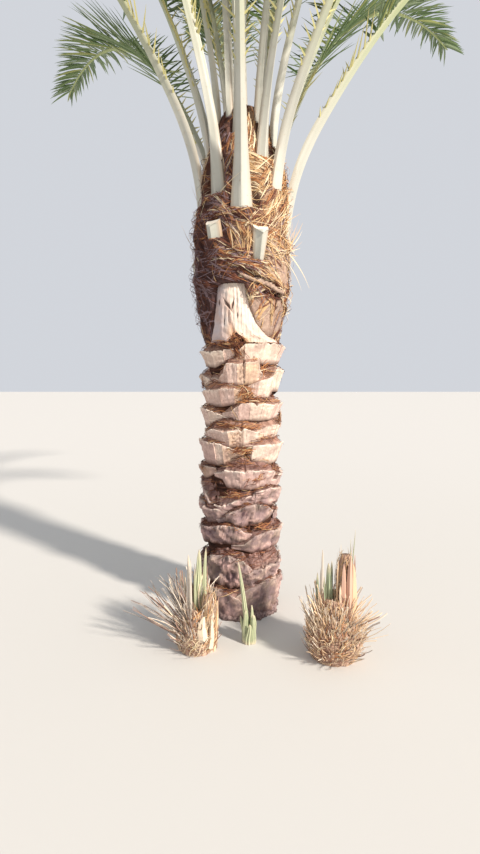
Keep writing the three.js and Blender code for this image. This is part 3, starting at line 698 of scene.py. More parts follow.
def draped(chance, azimuth, height, slope, length, radius_at, lift, stations=6, curl=0.0, alike=1):
    """Lines over a surface of a radius, by arrays of middle azimuth and height, slope in degrees and length.
    As many in a row bend alike as alike says. Gives the lines and the directions away from the stem."""
    share = np.linspace(-0.5, 0.5, stations)[None, :]
    count = len(azimuth)
    bend = np.repeat(chance.normal(0, 1, (count // alike, 1)), alike, axis=0) * curl
    bend = bend + chance.normal(0, 0.05, (count, 1)) * (alike > 1)
    heading = np.radians(slope[:, None]) + bend * share * 2
    step = length[:, None] / (stations - 1)
    run = np.cumsum(np.cos(heading) * step, axis=1)
    climb = np.cumsum(np.sin(heading) * step, axis=1)
    heights = height[:, None] + climb - climb.mean(axis=1, keepdims=True)
    around = azimuth[:, None] + np.degrees((run - run.mean(axis=1, keepdims=True)) / USUAL_RADIUS)
    wave = 1 + 0.5 * np.sin(share * 9 + chance.uniform(0, 6, (count, 1)))
    radius = radius_at(around, heights) + lift[:, None] * wave
    return around_stem(radius, around, np.maximum(heights, 0.002)), outward(around)


def tapered(width, stations):
    share = np.linspace(0, 1, stations)
    return width[:, None] * (0.35 + 0.65 * np.sin(math.pi * share) ** 0.6)[None, :]


def base_fibres():
    """Torn sheath fibre that lies on the cut faces, behind the rims"""
    strands = Strands()
    for leaf in LEAF_BASES:
        base = LeafBase(leaf)
        chance = np.random.default_rng(2000 - leaf)
        fresh = 1 - base.age
        count = round(BASE_FIBRES * (1 - 0.35 * fresh))
        across = chance.uniform(-0.95, 0.95, count)
        inward = chance.uniform(0.18, 0.8, count)
        ends, _, edge_ends, out_ends, _ = face_ends(base, np.random.default_rng(500 - leaf))

        def cut_face(across):
            """Azimuth, edge, top, stem radius and stand-out of the cut face"""
            azimuth, _, _, top, core, _ = base.lines(across)
            edge = np.interp(across, ends, edge_ends)
            top = np.maximum(top, edge + 0.02) + CUT_TOP_REACH
            return azimuth, edge, top, core, np.interp(across, ends, out_ends)

        def cut_radius(around, heights):
            _, edge, top, core, out = cut_face((around - base.azimuth) / base.half_angle)
            return core + out - np.clip((heights - edge) / (top - edge), 0, 1) * (out + CUT_TOP_REACH)

        azimuth, edge, top, _, _ = cut_face(across)
        height = mix(edge, top, inward)
        slope = np.where(chance.random(count) < 0.8, 9.0, 38.0) * chance.normal(0, 1, count)
        length = chance.uniform(0.03, 0.15, count)
        lift = chance.uniform(0.001, 0.008, count)
        line, away = draped(chance, azimuth, height, slope, length, cut_radius, lift, curl=0.22)
        width = tapered(chance.uniform(0.0012, 0.0036, count), 6)
        tones = drawn_tones(chance, count, dark=0.42 - 0.17 * fresh, maroon=0.45 - 0.08 * fresh,
                            orange=0.11 + 0.15 * fresh, golden=0.02 + 0.1 * fresh)
        strands.add(tones, line, away, width)
    return strands


def torn_fibres():
    """Loose fibre that lies across the torn faces"""
    strands = Strands()
    for leaf in LEAF_BASES:
        base = LeafBase(leaf)
        ends, foot, edge, out, kinds = face_ends(base, np.random.default_rng(500 - leaf))
        chance = np.random.default_rng(3000 - leaf)
        for facet in np.flatnonzero(kinds[:, 2] > 0.9):
            first, last = 2 * facet, 2 * facet + 1
            inside = chance.uniform(0.05, 0.95, TORN_FIBRES)
            low, high, reach = (mix(line[first], line[last], inside) for line in (foot, edge, out))
            azimuth = base.azimuth + base.half_angle * mix(ends[first], ends[last], inside)
            share = chance.uniform(0.1, 0.95, TORN_FIBRES)
            level = mix(low, high, share)
            radius = stem_radius(level) + reach * mix(0.34, 1, share)
            slope = chance.normal(0, 13, TORN_FIBRES)
            length = chance.uniform(0.02, 0.07, TORN_FIBRES)
            lift = chance.uniform(-0.009, 0.003, TORN_FIBRES)
            line, away = draped(chance, azimuth, level, slope, length,
                                lambda around, heights: radius[:, None], lift, curl=0.25)
            tones = drawn_tones(chance, TORN_FIBRES, dark=0.16, maroon=0.32, orange=0.3, golden=0.14,
                                straw=0.08)
            strands.add(tones, line, away, tapered(chance.uniform(0.0014, 0.0042, TORN_FIBRES), 6))
    return strands


def tangles():
    """Tufts of torn sheath that push out between the leaf bases"""
    strands = Strands()
    chance = np.random.default_rng(47)
    for middle, level, wide, high, count, slope, spread in TANGLES:
        azimuth = chance.normal(middle, wide, count)
        height = chance.normal(level, high, count)
        lift = chance.uniform(-0.012, 0.006, count)
        slopes = chance.normal(slope, spread, count)
        line, away = draped(chance, azimuth, height, slopes, chance.uniform(0.02, 0.09, count),
                            lambda around, heights: stem_radius(heights) + TANGLE_STAND_OUT, lift, curl=0.5)
        tones = drawn_tones(chance, count, dark=0.1, maroon=0.42, orange=0.38, golden=0.08, straw=0.02)
        strands.add(tones, line, away, tapered(chance.uniform(0.0018, 0.004, count), 6))
    return strands


add_piece("leaf_bases", joined([cut_leaf_base(leaf) for leaf in LEAF_BASES]), cut_leaf_base_finish(),
          ["trunk"], crease=26)
base_fibres().finish("base_fibres", "trunk", ["trunk"])
torn_fibres().finish("torn_fibres", "trunk", ["trunk"])
tangles().finish("tangles", "trunk", ["trunk"])


# The one leaf base that was left long stands bell-shaped on the front of the trunk, under the fibre. It is
# dry pale wood, shaved in a few broad cuts, with a gouge or two, and torn brown fibre in a notch of its edge.

TALL_FOOT = CUT_LEAF_RISE[0] + TALL_BASE * CUT_LEAF_RISE[1]
TALL_HEIGHT = 0.33
TALL_STAND_OUT = (0.062, 0.054)
TALL_SHARES = [0, 0.06, 0.12, 0.22, 0.34, 0.62, 1]
TALL_LEFT = [-49, -48, -47, -44, -42, -40, -38]
TALL_RIGHT = [67, 59, 38, 27, 18, 9, 2]
TALL_FACETS = [0, 0.24, 0.5, 0.74, 1]
TALL_ROWS = 84
TALL_COLUMNS = 73
# Middle azimuth, half width in degrees, and rise
TALL_NOTCH = (-7, 12, 0.055)
# Share of the way across, half width, how far up it runs, and how steeply it deepens downwards
TALL_GROOVE = (0.43, 0.03, 0.5, 0.007)
TALL_SIDE_DEPTH = 0.056
TALL_END_DEPTH = 0.05
GOUGES = [
    # azimuth, height, half width in degrees, half height, depth, and degrees it runs aside in a metre
    (-19, 1.85, 3.4, 0.045, 0.012, -150),
    (-12.5, 1.852, 2.0, 0.05, 0.009, 40),
    (-32, 1.868, 2.4, 0.024, 0.009, 0),
    (-6, 1.79, 1.2, 0.03, 0.003, 0),
    (-24, 1.76, 0.9, 0.05, 0.003, 0),
]
GREY_CREAM = (0.66, 0.54, 0.47, 1)
BLEACHED = (0.76, 0.67, 0.57, 1)
# Painted shade for the left side of the tall base
PAINTED_SHADE_LILAC = (0.47, 0.4, 0.43, 1)
PINKISH = (0.58, 0.38, 0.3, 1)
ORANGE_STAIN = (0.62, 0.34, 0.17, 1)


def tall_base_shape():
    up = np.linspace(0, 1, TALL_ROWS)
    left, right = (np.interp(up, TALL_SHARES, side)[:, None] for side in (TALL_LEFT, TALL_RIGHT))
    corners = np.array(TALL_FACETS)
    steps = np.linspace(0, len(corners) - 1, TALL_COLUMNS)
    share = np.interp(steps, np.arange(len(corners)), corners)
    azimuth = mix(left, right, share[None, :])
    corner_azimuth = mix(left, right, corners[None, :])
    notch_middle, notch_half, notch_rise = TALL_NOTCH
    height = TALL_FOOT + up[:, None] * TALL_HEIGHT + 0 * azimuth
    notch = notch_rise * (1 - np.abs(azimuth - notch_middle) / notch_half).clip(0, 1) ** 0.7
    lower_edge = 0.004 * unevenness(around_stem(USUAL_RADIUS, azimuth, height * 0), 0.03, 31)
    height = np.maximum(height, TALL_FOOT + notch + lower_edge + up[:, None] * 0.02)
    core = stem_radius(TALL_FOOT + up * TALL_HEIGHT)[:, None]
    roundness = 1 - 0.4 * (2 * corners - 1) ** 2
    out = mix(*TALL_STAND_OUT, up)[:, None] * roundness[None, :]
    corner_points = around_stem(core + out, corner_azimuth, TALL_FOOT + up[:, None] * TALL_HEIGHT)
    columns = np.arange(len(corners))
    face = np.stack([[np.interp(steps, columns, row[:, i]) for i in range(2)] for row in corner_points])
    points = np.concatenate([face.transpose(0, 2, 1), height[..., None]], axis=2)
    away = outward(azimuth)
    relief_height = 0.0022 * unevenness(points * [16, 16, 1], 0.3, 32) + 0.0035 * unevenness(points, 0.12, 33)
    middle, half, reach, depth = TALL_GROOVE
    groove = (np.abs(share[None, :] - middle) < half) * (up[:, None] < reach)
    relief_height -= depth * groove * (reach - up[:, None])
    hurt = np.zeros_like(azimuth)
    for middle, level, half, reach, depth, aside in GOUGES:
        beside = azimuth - middle - aside * (height - level)
        inside = 1 - np.abs(beside) / half - np.abs(height - level) / reach
        hurt = np.maximum(hurt, inside.clip(0, 1))
        relief_height -= depth * inside.clip(0, 1) ** 0.5
    points += away * relief_height[..., None]
    sides = []
    for column in (0, -1):
        edge = points[:, column]
        returning = [mix(edge, edge - away[:, column] * TALL_SIDE_DEPTH, part) for part in (0.25, 1)]
        sides.append(np.stack(returning[::-1] if column == 0 else returning, axis=1))
    points = np.concatenate([sides[0], points, sides[1]], axis=1)
    hurt = np.pad(hurt, ((1, 1), (2, 2)), mode="edge")
    share = np.pad(share, 2, mode="edge")
    away = np.pad(away[[0, -1]], ((0, 0), (2, 2), (0, 0)), mode="edge")
    bottom, top = points[[0, -1]] - away * TALL_END_DEPTH
    points = np.concatenate([bottom[None], points, top[None]])
    rise = np.clip((points[..., 2] - TALL_FOOT) / TALL_HEIGHT, 0, 1)
    return sheet(points, (share * 0.3, points[..., 2], 0.0), hurt=hurt, rise=rise, flare=share)


def tall_base_finish():
    material, tree = new_finish("shaved_leaf_base", 0.75, 0.25)
    grain = grained(tree, 320.0, 22.0)
    across, rise = mark(tree, "flare"), mark(tree, "rise")
    colour = blended(stretched(grain["Streaks"], 0, 1, 0, 0.6), BLEACHED, GREY_CREAM)
    # Painted shade: lilac grey over the left part of the base, strongest at its left edge and gone by half
    # way across.
    colour = blended(stretched(across, 0.2, 0.5, 0.75, 0.0), colour, PAINTED_SHADE_LILAC)
    colour = blended(product(patches(tree, 0.07, 0.55), 0.5), colour, PINKISH)
    middle = worked_out("ABSOLUTE", worked_out("SUBTRACT", across, 0.44))
    streak = product(stretched(middle, 0.02, 0.1, 1, 0), stretched(grain["Streaks"], 0.2, 0.8))
    streak = product(streak, stretched(rise, 0.3, 0.9, 0.8, 0.2))
    colour = blended(streak, colour, PINKISH)
    stain = product(stretched(middle, 0.03, 0.14, 0.9, 0), stretched(rise, 0.08, 0.36, 1.0, 0.0))
    colour = blended(stain, colour, ORANGE_STAIN)
    colour = blended(stretched(mark(tree, "hurt"), 0.05, 0.45, 0.0, 0.85), colour, MATTED_BROWN)
    return dressed(material, colour, grain["Height"], 0.0016)


def notch_radius(around, heights):
    return stem_radius(heights) + mix(0.03, 0.05, smooth((heights - 1.6) / 0.05))


def notch_fibres():
    """Orange-brown fibre that hangs tangled in the notch and as a fringe below the lower edge"""
    strands = Strands()
    chance = np.random.default_rng(41)
    tufts = [
        # count, azimuth, height and slope, each with its spread, lengths, and how much they curl
        (90, -9, 5.5, 1.668, 0.014, -20, 50, (0.02, 0.06), 1.6),
        (70, -20, 11, 1.636, 0.007, -5, 7, (0.05, 0.13), 0.25),
        (46, -7, 5, 1.602, 0.022, -56, 12, (0.03, 0.08), 0.4),
    ]
    for count, middle, wide, level, high, slope, spread, lengths, curl in tufts:
        azimuth = chance.normal(middle, wide, count)
        height = chance.normal(level, high, count)
        lift = chance.uniform(-0.006, 0.01, count)
        slopes = chance.normal(slope, spread, count)
        length = chance.uniform(*lengths, count)
        line, away = draped(chance, azimuth, height, slopes, length, notch_radius, lift, curl=curl)
        tones = drawn_tones(chance, count, dark=0.26, orange=0.34, maroon=0.34, golden=0.06)
        strands.add(tones, line, away, tapered(chance.uniform(0.002, 0.0045, count), 6))
    return strands


add_piece("tall_base", tall_base_shape(), tall_base_finish(), ["tall_leaf_base"], crease=32)
notch_fibres().finish("notch_fibres", "fibre", ["tall_leaf_base"])


# The fronds are 24 feather leaves on a spiral, the outer ones arched over and the youngest nearly upright.
# Each has a pale waxy stalk, flat on its inner side and keeled on its outer one, that thins to a green rib.

FROND_COUNT = 24
FROND_LENGTH = (4.25, 2.9)
FROND_LEAN_AT_ROOT = (5, 0)
FROND_LEAN_ABOVE_STALK = (33, 3)
FROND_LEAN_AT_TIP = (100, 20)
STALK_WIDTH = (0.138, 0.064)
STALK_DEPTH = (0.052, 0.034)
STALK_BEND_FROM = 0.25
STALK_BEND_TO = 1.15
BLADE_START = 1.56
WIDTH_SHARES = [0, 0.06, 0.09, 0.15, 0.22, 0.38, 1]
WIDTHS = [0.6, 1, 0.94, 0.58, 0.37, 0.33, 0.09]
DEPTH_SHARES = [0, 0.2, 0.4, 1]
DEPTHS = [0.9, 1, 0.6, 0.17]
INNERMOST_OPENNESS = 0.4
TURNED_FRONDS = {7: -9, 10: 13}
WALK_STEP = 0.01
STALK_RINGS = 86
STALK_SIDE = [(1, 0.9), (1.01, 0.62), (0.94, 0.08), (0.62, -0.34), (0.3, -0.78), (0.05, -1.2)]
STALK_OUTLINE = [(-1, 0.9), (-0.6, 0.74), (0, 0.66), (0.6, 0.74), *STALK_SIDE,
                 *((-x, y) for x, y in STALK_SIDE[:0:-1])]
# The rings that lead into a cut face: how wide and how deep
CUT_FACE_RINGS = [(0.93, -0.001), (0.7, -0.004), (0.35, -0.003), (0.04, -0.004)]
WAXY_CREAM = (0.58, 0.555, 0.49, 1)
WAXY_GREEN = (0.38, 0.39, 0.32, 1)
RIB_GREEN = (0.36, 0.42, 0.17, 1)
MARGIN_BROWN = (0.42, 0.25, 0.13, 1)


class Frond:
    """The midline of a frond, cut or whole, and the directions along it"""

    def __init__(self, leaf, **changed):
        inward = leaf / (FROND_COUNT - 1)
        self.leaf = leaf
        self.azimuth = leaf_azimuth(leaf) + TURNED_FRONDS.get(leaf, 3 * wobble(leaf, 11))
        self.foot = leaf_height(leaf)
        self.length = mix(*FROND_LENGTH, inward**2) * (1 + 0.03 * wobble(leaf, 12))
        self.leans = (
            mix(*FROND_LEAN_AT_ROOT, inward),
            mix(*FROND_LEAN_ABOVE_STALK, inward) + 1.5 * wobble(leaf, 13),
            mix(*FROND_LEAN_AT_TIP, inward) + 6 * wobble(leaf, 14),
        )
        self.width = mix(*STALK_WIDTH, inward)
        self.depth = mix(*STALK_DEPTH, inward)
        self.openness = mix(1, INNERMOST_OPENNESS, inward**4)
        self.sweep = 0.17 * wobble(leaf, 15)
        self.twist = 22 * wobble(leaf, 16)
        self.__dict__.update(changed)
        self.out = outward(self.azimuth)
        self.side = np.array([-self.out[1], self.out[0], 0])
        start = around_stem(stem_radius(self.foot) + self.depth / 2 + 0.004, self.azimuth, self.foot)
        self.marks = np.arange(0, self.length + 2 * WALK_STEP, WALK_STEP)
        moves = self.forward(self.marks[:-1] + WALK_STEP / 2) * WALK_STEP
        self.line = np.concatenate([start[None], start + np.cumsum(moves, axis=0)])

    def forward(self, along):
        root, above, tip = self.leans
        bent = smooth((along - STALK_BEND_FROM) / (STALK_BEND_TO - STALK_BEND_FROM))
        drooped = np.maximum(0, (along - STALK_BEND_TO) / (self.length - STALK_BEND_TO))
        lean = np.radians(mix(root, above, bent) + (tip - above) * drooped**1.25)[..., None]
        return self.out * np.sin(lean) + UP * np.cos(lean)

    def walk(self, along):
        """Place, forward, across and inner directions at distances along"""
        reach = np.maximum(0, along - STALK_BEND_TO) / (self.length - STALK_BEND_TO)
        place = np.stack([np.interp(along, self.marks, self.line[:, i]) for i in range(3)], axis=-1)
        place = place + self.side * (self.sweep * reach**2)[..., None]
        forward = self.forward(along)
        inner = np.cross(forward, self.side)
        twist = np.radians(self.twist * reach)[..., None]
        across = self.side * np.cos(twist) + inner * np.sin(twist)
        inner = inner * np.cos(twist) - self.side * np.sin(twist)
        return place, forward, across, inner

    def half_width(self, along):
        return self.width / 2 * np.interp(along / self.length, WIDTH_SHARES, WIDTHS)

    def half_depth(self, along):
        return self.depth / 2 * np.interp(along / self.length, DEPTH_SHARES, DEPTHS)

    def sections(self, along):
        place, _, across, inner = self.walk(along)
        outline = np.array(STALK_OUTLINE)
        sideways = outline[None, :, 0] * self.half_width(along)[:, None]
        deep = outline[None, :, 1] * self.half_depth(along)[:, None]
        points = place[:, None] + across[:, None] * sideways[..., None] + inner[:, None] * deep[..., None]
        return points, sideways


def stalk_shape(frond, along, slant=None):
    """A stalk through rings at distances along it. With a slant its top is cut, lower towards the keel."""
    points, sideways = frond.sections(along)
    outline = np.array(STALK_OUTLINE)
    margin = np.tile(np.abs(outline[:, 0]) ** 6 * (outline[:, 1] > 0), (len(along), 1))
    if slant is not None:
        points[-1, :, 2] -= slant * (0.9 - outline[:, 1]) / 1.9
        middle = points[-1].mean(axis=0)
        inside = [middle + (points[-1] - middle) * share + [0, 0, rise] for share, rise in CUT_FACE_RINGS]
        points = np.concatenate([points, inside])
        sideways = np.concatenate([sideways, [sideways[-1] * share for share, _ in CUT_FACE_RINGS]])
        margin = np.pad(margin, ((0, len(inside)), (0, 0)))
    cut = np.arange(len(points)) >= len(along)
    distance = np.pad(along, (0, len(points) - len(along)), mode="edge")[:, None]
    return sheet(points, (sideways, distance, frond.leaf * 2.3), closed=True, along=distance, margin=margin,
                 cut=1.0 * cut[:, None])


def stalk_finish():
    material, tree = new_finish("waxy_stalk", 0.42, 0.45)
    grain = grained(tree, 240.0, 60.0)
    bloom = patches(tree, 0.16, 0.5, 0.2)
    along, cut = mark(tree, "along"), mark(tree, "cut")
    colour = blended(stretched(bloom, 0, 1, 0.1, 0.55), WAXY_CREAM, WAXY_GREEN)
    colour = blended(stretched(grain["Streaks"], 0, 1, 0, 0.3), colour, WAXY_GREEN)
    colour = blended(stretched(along, 0.9, 2.2), colour, RIB_GREEN)
    foot = stretched(along, 0.1, 0.75, 1.0, 0.1)
    colour = blended(product(mark(tree, "margin"), foot), colour, MARGIN_BROWN)
    colour = blended(product(patches(tree, 0.02, 0.22, 0.04), 0.35), colour, MARGIN_BROWN)
    colour = blended(product(cut, 0.8), colour, BLEACHED)
    rough = stretched(worked_out("ADD", bloom, cut), 0, 1.5, 0.36, 0.7)
    return dressed(material, colour, grain["Height"], 0.0016, rough)


FRONDS = [Frond(leaf) for leaf in range(FROND_COUNT)]
FROND_NODES = sorted(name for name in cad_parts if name.startswith("frond_"))
STALK_FINISH = stalk_finish()
frond_stalks = [stalk_shape(frond, np.linspace(0, 1, STALK_RINGS) ** 1.15 * frond.length) for frond in FRONDS]
add_piece("frond_stalks", joined(frond_stalks), STALK_FINISH, FROND_NODES, crease=38)


# The leaflets are stiff narrow blades folded to a V along their middle, which leave the rib in several ranks,
# so that the frond is bristly and not flat. Near the foot of the blade they turn into short hard spines.

LEAFLET_PAIRS = 112
LEAFLET_LENGTH = (0.33, 0.56, 0.3)
LEAFLET_ANGLE = (62, 24)
LEAFLET_LIFTS = (8, 34, 18, 40, 4, 27)
LEAFLET_STATIONS = np.array([0, 0.07, 0.28, 0.56, 0.82, 1])
LEAFLET_WIDTHS = np.array([0.28, 0.72, 1, 0.86, 0.46, 0.03])
LEAFLET_WIDTH = 0.027
LEAFLET_FOLD = 32
SPINE_PAIRS = 10
SPINES_FROM = 1.02
LEAFLET_TONES = {
    "deep": (0.1, 0.16, 0.06, 1),
    "green": (0.15, 0.22, 0.085, 1),
    "grey": (0.21, 0.27, 0.15, 1),
    "yellow": (0.3, 0.33, 0.11, 1),
}
SPINE_YELLOW = (0.5, 0.46, 0.2, 1)


def leaflet_length(share):
    foot, middle, tip = LEAFLET_LENGTH
    early = mix(foot, middle, smooth(share / 0.4))
    late = mix(middle, tip, smooth((share - 0.4) / 0.6))
    return np.where(share < 0.4, early, late)


def ranked(frond, chance, pairs, jitter, start, end):
    """Leaflets or spines by pairs: pair, side, share of the way and distance along, and the frond's walk"""
    pair = np.arange(2 * pairs) // 2
    side = np.where(np.arange(2 * pairs) % 2, 1.0, -1.0)
    share = (pair + chance.uniform(*jitter, 2 * pairs)) / pairs
    share = share.clip(0, 1)
    along = mix(start, end, share)
    return pair, side, share, along, frond.walk(along)


def set_in(frond, along, side, walk, angle, lift, height):
    """Roots on the stalk's edges, and directions at an angle from it and lifted off its plane"""
    place, forward, across, inner = walk
    sideways = across * (side * np.cos(lift))[:, None] + inner * np.sin(lift)[:, None]
    direction = forward * np.cos(angle)[:, None] + sideways * np.sin(angle)[:, None]
    root = place + across * (side * frond.half_width(along) * 0.9)[:, None]
    return root + inner * (frond.half_depth(along) * height)[:, None], direction


def leaflets(frond, chance):
    """Leaflets of a frond as (leaflet, station, edge or fold, 3), and their lengths"""
    pair, side, share, along, walk = ranked(frond, chance, LEAFLET_PAIRS, (-0.2, 0.2), BLADE_START,
                                            frond.length - 0.02)
    _, forward, _, inner = walk
    count = len(pair)
    lift = np.array(LEAFLET_LIFTS)[(pair + (side > 0)) % len(LEAFLET_LIFTS)] + chance.normal(0, 4, count)
    angle = np.radians(mix(*LEAFLET_ANGLE, share) * frond.openness + chance.normal(0, 3.5, count))
    length = leaflet_length(share) * (0.94 + 0.06 * chance.uniform(-1, 1, count))
    root, direction = set_in(frond, along, side, walk, angle, np.radians(lift), 0.4)
    upper = inner - direction * np.sum(inner * direction, axis=1, keepdims=True)
    upper /= np.linalg.norm(upper, axis=1, keepdims=True)
    roll = np.radians(side * 24 + chance.normal(0, 12, count))[:, None]
    upper = upper * np.cos(roll) + np.cross(direction, upper) * np.sin(roll)
    broad = np.cross(direction, upper)
    t = LEAFLET_STATIONS[None, :, None]
    droop = (0.05 + 0.07 * chance.random(count)) * frond.openness
    line = root[:, None] + direction[:, None] * (length[:, None, None] * t)
    line = line + (forward * length[:, None])[:, None] * 0.06 * t**2
    line = line - UP * (droop * length)[:, None, None] * t**2
    half = LEAFLET_WIDTH / 2 * (0.75 + 0.35 * chance.random(count))
    half = half[:, None, None] * LEAFLET_WIDTHS[None, :, None]
    fold = math.radians(LEAFLET_FOLD)
    edge_up = upper[:, None] * half * math.sin(fold)
    edge_out = broad[:, None] * half * math.cos(fold)
    return np.stack([line - edge_out + edge_up, line, line + edge_out + edge_up], axis=2), length


def blade_part(points, length, number):
    along = (length[:, None] * LEAFLET_STATIONS)[..., None]
    numbers = (number + np.arange(len(points)) * 1.3)[:, None, None]
    return repeated(points, laid_out(points.shape[:3], [-0.01, 0, 0.01], along, numbers))


def spines(frond, chance):
    """Hard three-sided thorns where the stalk turns into the blade"""
    pair, side, share, along, walk = ranked(frond, chance, SPINE_PAIRS, (0, 0.6), SPINES_FROM, BLADE_START)
    count = len(pair)
    angle = np.radians(chance.uniform(34, 58, count) * frond.openness)
    lift = np.radians(chance.uniform(6, 46, count))
    length = mix(0.05, 0.2, share) * chance.uniform(0.75, 1.15, count)
    root, direction = set_in(frond, along, side, walk, angle, lift, 0.5)
    other = np.cross(direction, walk[3])
    other /= np.linalg.norm(other, axis=1, keepdims=True)
    third = np.cross(direction, other)
    rings = []
    for t, radius in ((0, 0.0065), (0.5, 0.0045), (1, 0.0004)):
        middle = root + direction * (length * t)[:, None]
        corners = [middle + radius * (other * math.cos(a) + third * math.sin(a)) for a in (0, 2.09, 4.19)]
        rings.append(np.stack(corners, axis=1))
    points = np.stack(rings, axis=1)
    return repeated(points, points, closed=True)


blades = {tone: [] for tone in LEAFLET_TONES}
spine_parts = []
for frond in FRONDS:
    chance = np.random.default_rng(3000 + frond.leaf)
    points, length = leaflets(frond, chance)
    inner = frond.leaf / (FROND_COUNT - 1)
    tones = drawn_tones(chance, len(points), deep=0.26, green=0.34, grey=0.28 - 0.08 * inner,
                        yellow=0.12 + 0.08 * inner)
    for tone in LEAFLET_TONES:
        chosen = tones == tone
        blades[tone].append(blade_part(points[chosen], length[chosen], frond.leaf * 7.1))
    spine_parts.append(spines(frond, chance))


def leaflet_finish(tone, colour):
    return plain_finish(f"leaflet_{tone}", colour, (0.5, 0.35), (700.0, 120.0), (0.42, 0.66), 0.0008)


for tone, colour in LEAFLET_TONES.items():
    finish = leaflet_finish(tone, colour)
    add_piece(f"leaflets_{tone}", joined(blades[tone]), finish, FROND_NODES, crease=30)
SPINE_FINISH = leaflet_finish("spine", SPINE_YELLOW)
add_piece("frond_spines", joined(spine_parts), SPINE_FINISH, FROND_NODES, crease=40)


# Cut leaf stalks stand in the fibre where fronds were sawn off. Each is the same waxy keeled stalk, with a
# slanting pale cut at its top.

CUT_STALKS = [
    # leaf number, foot, length, turn off the spiral, and lean
    (-1, 1.985, 0.335, 19, 15),
    (-2, 1.83, 0.44, 0, 11),
    (-3, 1.98, 0.3, -13, 16),
    (-4, 1.74, 0.45, 0, 8),
    (-5, 1.7, 0.43, 0, 8),
]
CUT_STALK_WIDTH = 0.092
CUT_STALK_SLANT = 0.034
CUT_STALK_RINGS = 16

stubs = []
for number, (leaf, foot, length, turn, lean) in enumerate(CUT_STALKS, 1):
    stalk = Frond(leaf, azimuth=leaf_azimuth(leaf) + turn, foot=foot, length=FRONDS[0].length,
                  leans=(lean,) * 3, width=CUT_STALK_WIDTH, depth=STALK_DEPTH[0], sweep=0, twist=0)
    shape = stalk_shape(stalk, np.linspace(0, length, CUT_STALK_RINGS), CUT_STALK_SLANT)
    name = f"cut_stalk_{number}"
    add_piece(f"{name}_waxy", shape, STALK_FINISH, [name], crease=38)
    stubs.append(stalk)


# The fibre wrap is the net of brown fibre that the sheaths of old leaves leave round the heart of the palm.
# Its margins run aslant as thick folds, loose ends curl off it, and it hangs ragged over the leaf bases.

WRAP_HEIGHTS = [1.65, 1.72, 1.86, 1.98, 2.3, 2.48, 2.64, 2.78, 2.89, 3.0]
WRAP_RADII = [0.214, 0.234, 0.258, 0.276, 0.276, 0.268, 0.24, 0.2, 0.158, 0.108]
WRAP_SIDES = 18
WRAP_LUMP = 0.009
WRAP_ROWS = 250
WRAP_COLUMNS = 330
FOLDS = [
    # middle azimuth and height, rise in metres a degree, half length in degrees, half width, stand-out
    (24, 2.0, -0.002, 48, 0.03, 0.028),
    (5, 2.125, -0.0006, 20, 0.012, 0.008),
    (7, 2.088, -0.0008, 20, 0.012, 0.009),
    (-29, 2.335, 0.0004, 22, 0.045, 0.016),
    (66, 2.17, 0.002, 26, 0.024, 0.01),
    (-62, 1.99, -0.0016, 36, 0.028, 0.018),
    (-75, 2.3, 0.0021, 38, 0.026, 0.014),
    (128, 2.02, 0.0019, 40, 0.03, 0.022),
    (150, 2.31, -0.0018, 36, 0.026, 0.014),
    (-130, 2.12, 0.0017, 40, 0.03, 0.02),
    (-160, 1.93, -0.0017, 36, 0.028, 0.018),
    (98, 1.84, -0.0012, 30, 0.024, 0.014),
    (-110, 1.82, 0.0011, 34, 0.024, 0.014),
]
# Regions of the fibre: middle azimuth and height, half width in degrees and half height, slope of its strands
# and the spread of the slope, then how golden, pinkish, dark and smooth it is. Some of that dark is painted
# shade, as marked below.
REGIONS = [
    # Painted shade: this pit is made fully dark, and smooth so that few strands lie in it.
    (14, 2.405, 6, 0.05, -60, 20, 0, 0, 1, 1),
    (15, 2.56, 15, 0.11, -18, 9, 1.1, 0.1, 0, 0),
    (54, 2.43, 32, 0.22, 54, 12, 1, 0.25, 0, 0.2),
    (-1, 2.225, 14, 0.065, -76, 9, 1.1, 0.3, 0, 0),
    (4, 2.1, 20, 0.04, -9, 6, 0.1, 0.2, 0.55, 0),
    (54, 2.09, 34, 0.12, -34, 18, 0.7, 0.75, 0, 0.8),
    (-32, 2.34, 22, 0.11, -38, 12, 0, 0.1, 0.85, 0.3),
    # The left side: dark netting, darkened further as painted shade for the side away from the sun.
    (-66, 2.02, 46, 0.36, -40, 50, 0, 0, 1, 0.1),
    (14, 2.84, 28, 0.15, 76, 8, 0.9, 0, 0, 0.2),
    (-40, 2.7, 26, 0.15, 70, 12, 0.1, 0, 0.6, 0.2),
    (42, 1.79, 40, 0.11, 60, 20, 0.25, 0.8, 0.15, 0.8),
    # Painted shadow: a dark band under the overhang of the wrap, just above the tall base.
    (-4, 2.0, 30, 0.035, -24, 14, 0, 0.1, 1, 0),
    # Painted shade: the hollow to the right of the top of the tall base is made fully dark.
    (42, 1.915, 24, 0.02, -20, 20, 0, 0, 1, 0),
    (130, 2.2, 40, 0.3, 45, 16, 0.6, 0.2, 0.1, 0.2),
    (-125, 2.35, 36, 0.22, -45, 16, 0.3, 0.1, 0.5, 0.1),
    (175, 1.86, 50, 0.18, 55, 20, 0.3, 0.8, 0.1, 0.7),
    (165, 2.6, 40, 0.18, -60, 16, 0.7, 0, 0.1, 0.2),
    (-100, 2.68, 30, 0.16, 60, 16, 0.3, 0, 0.4, 0.1),
]
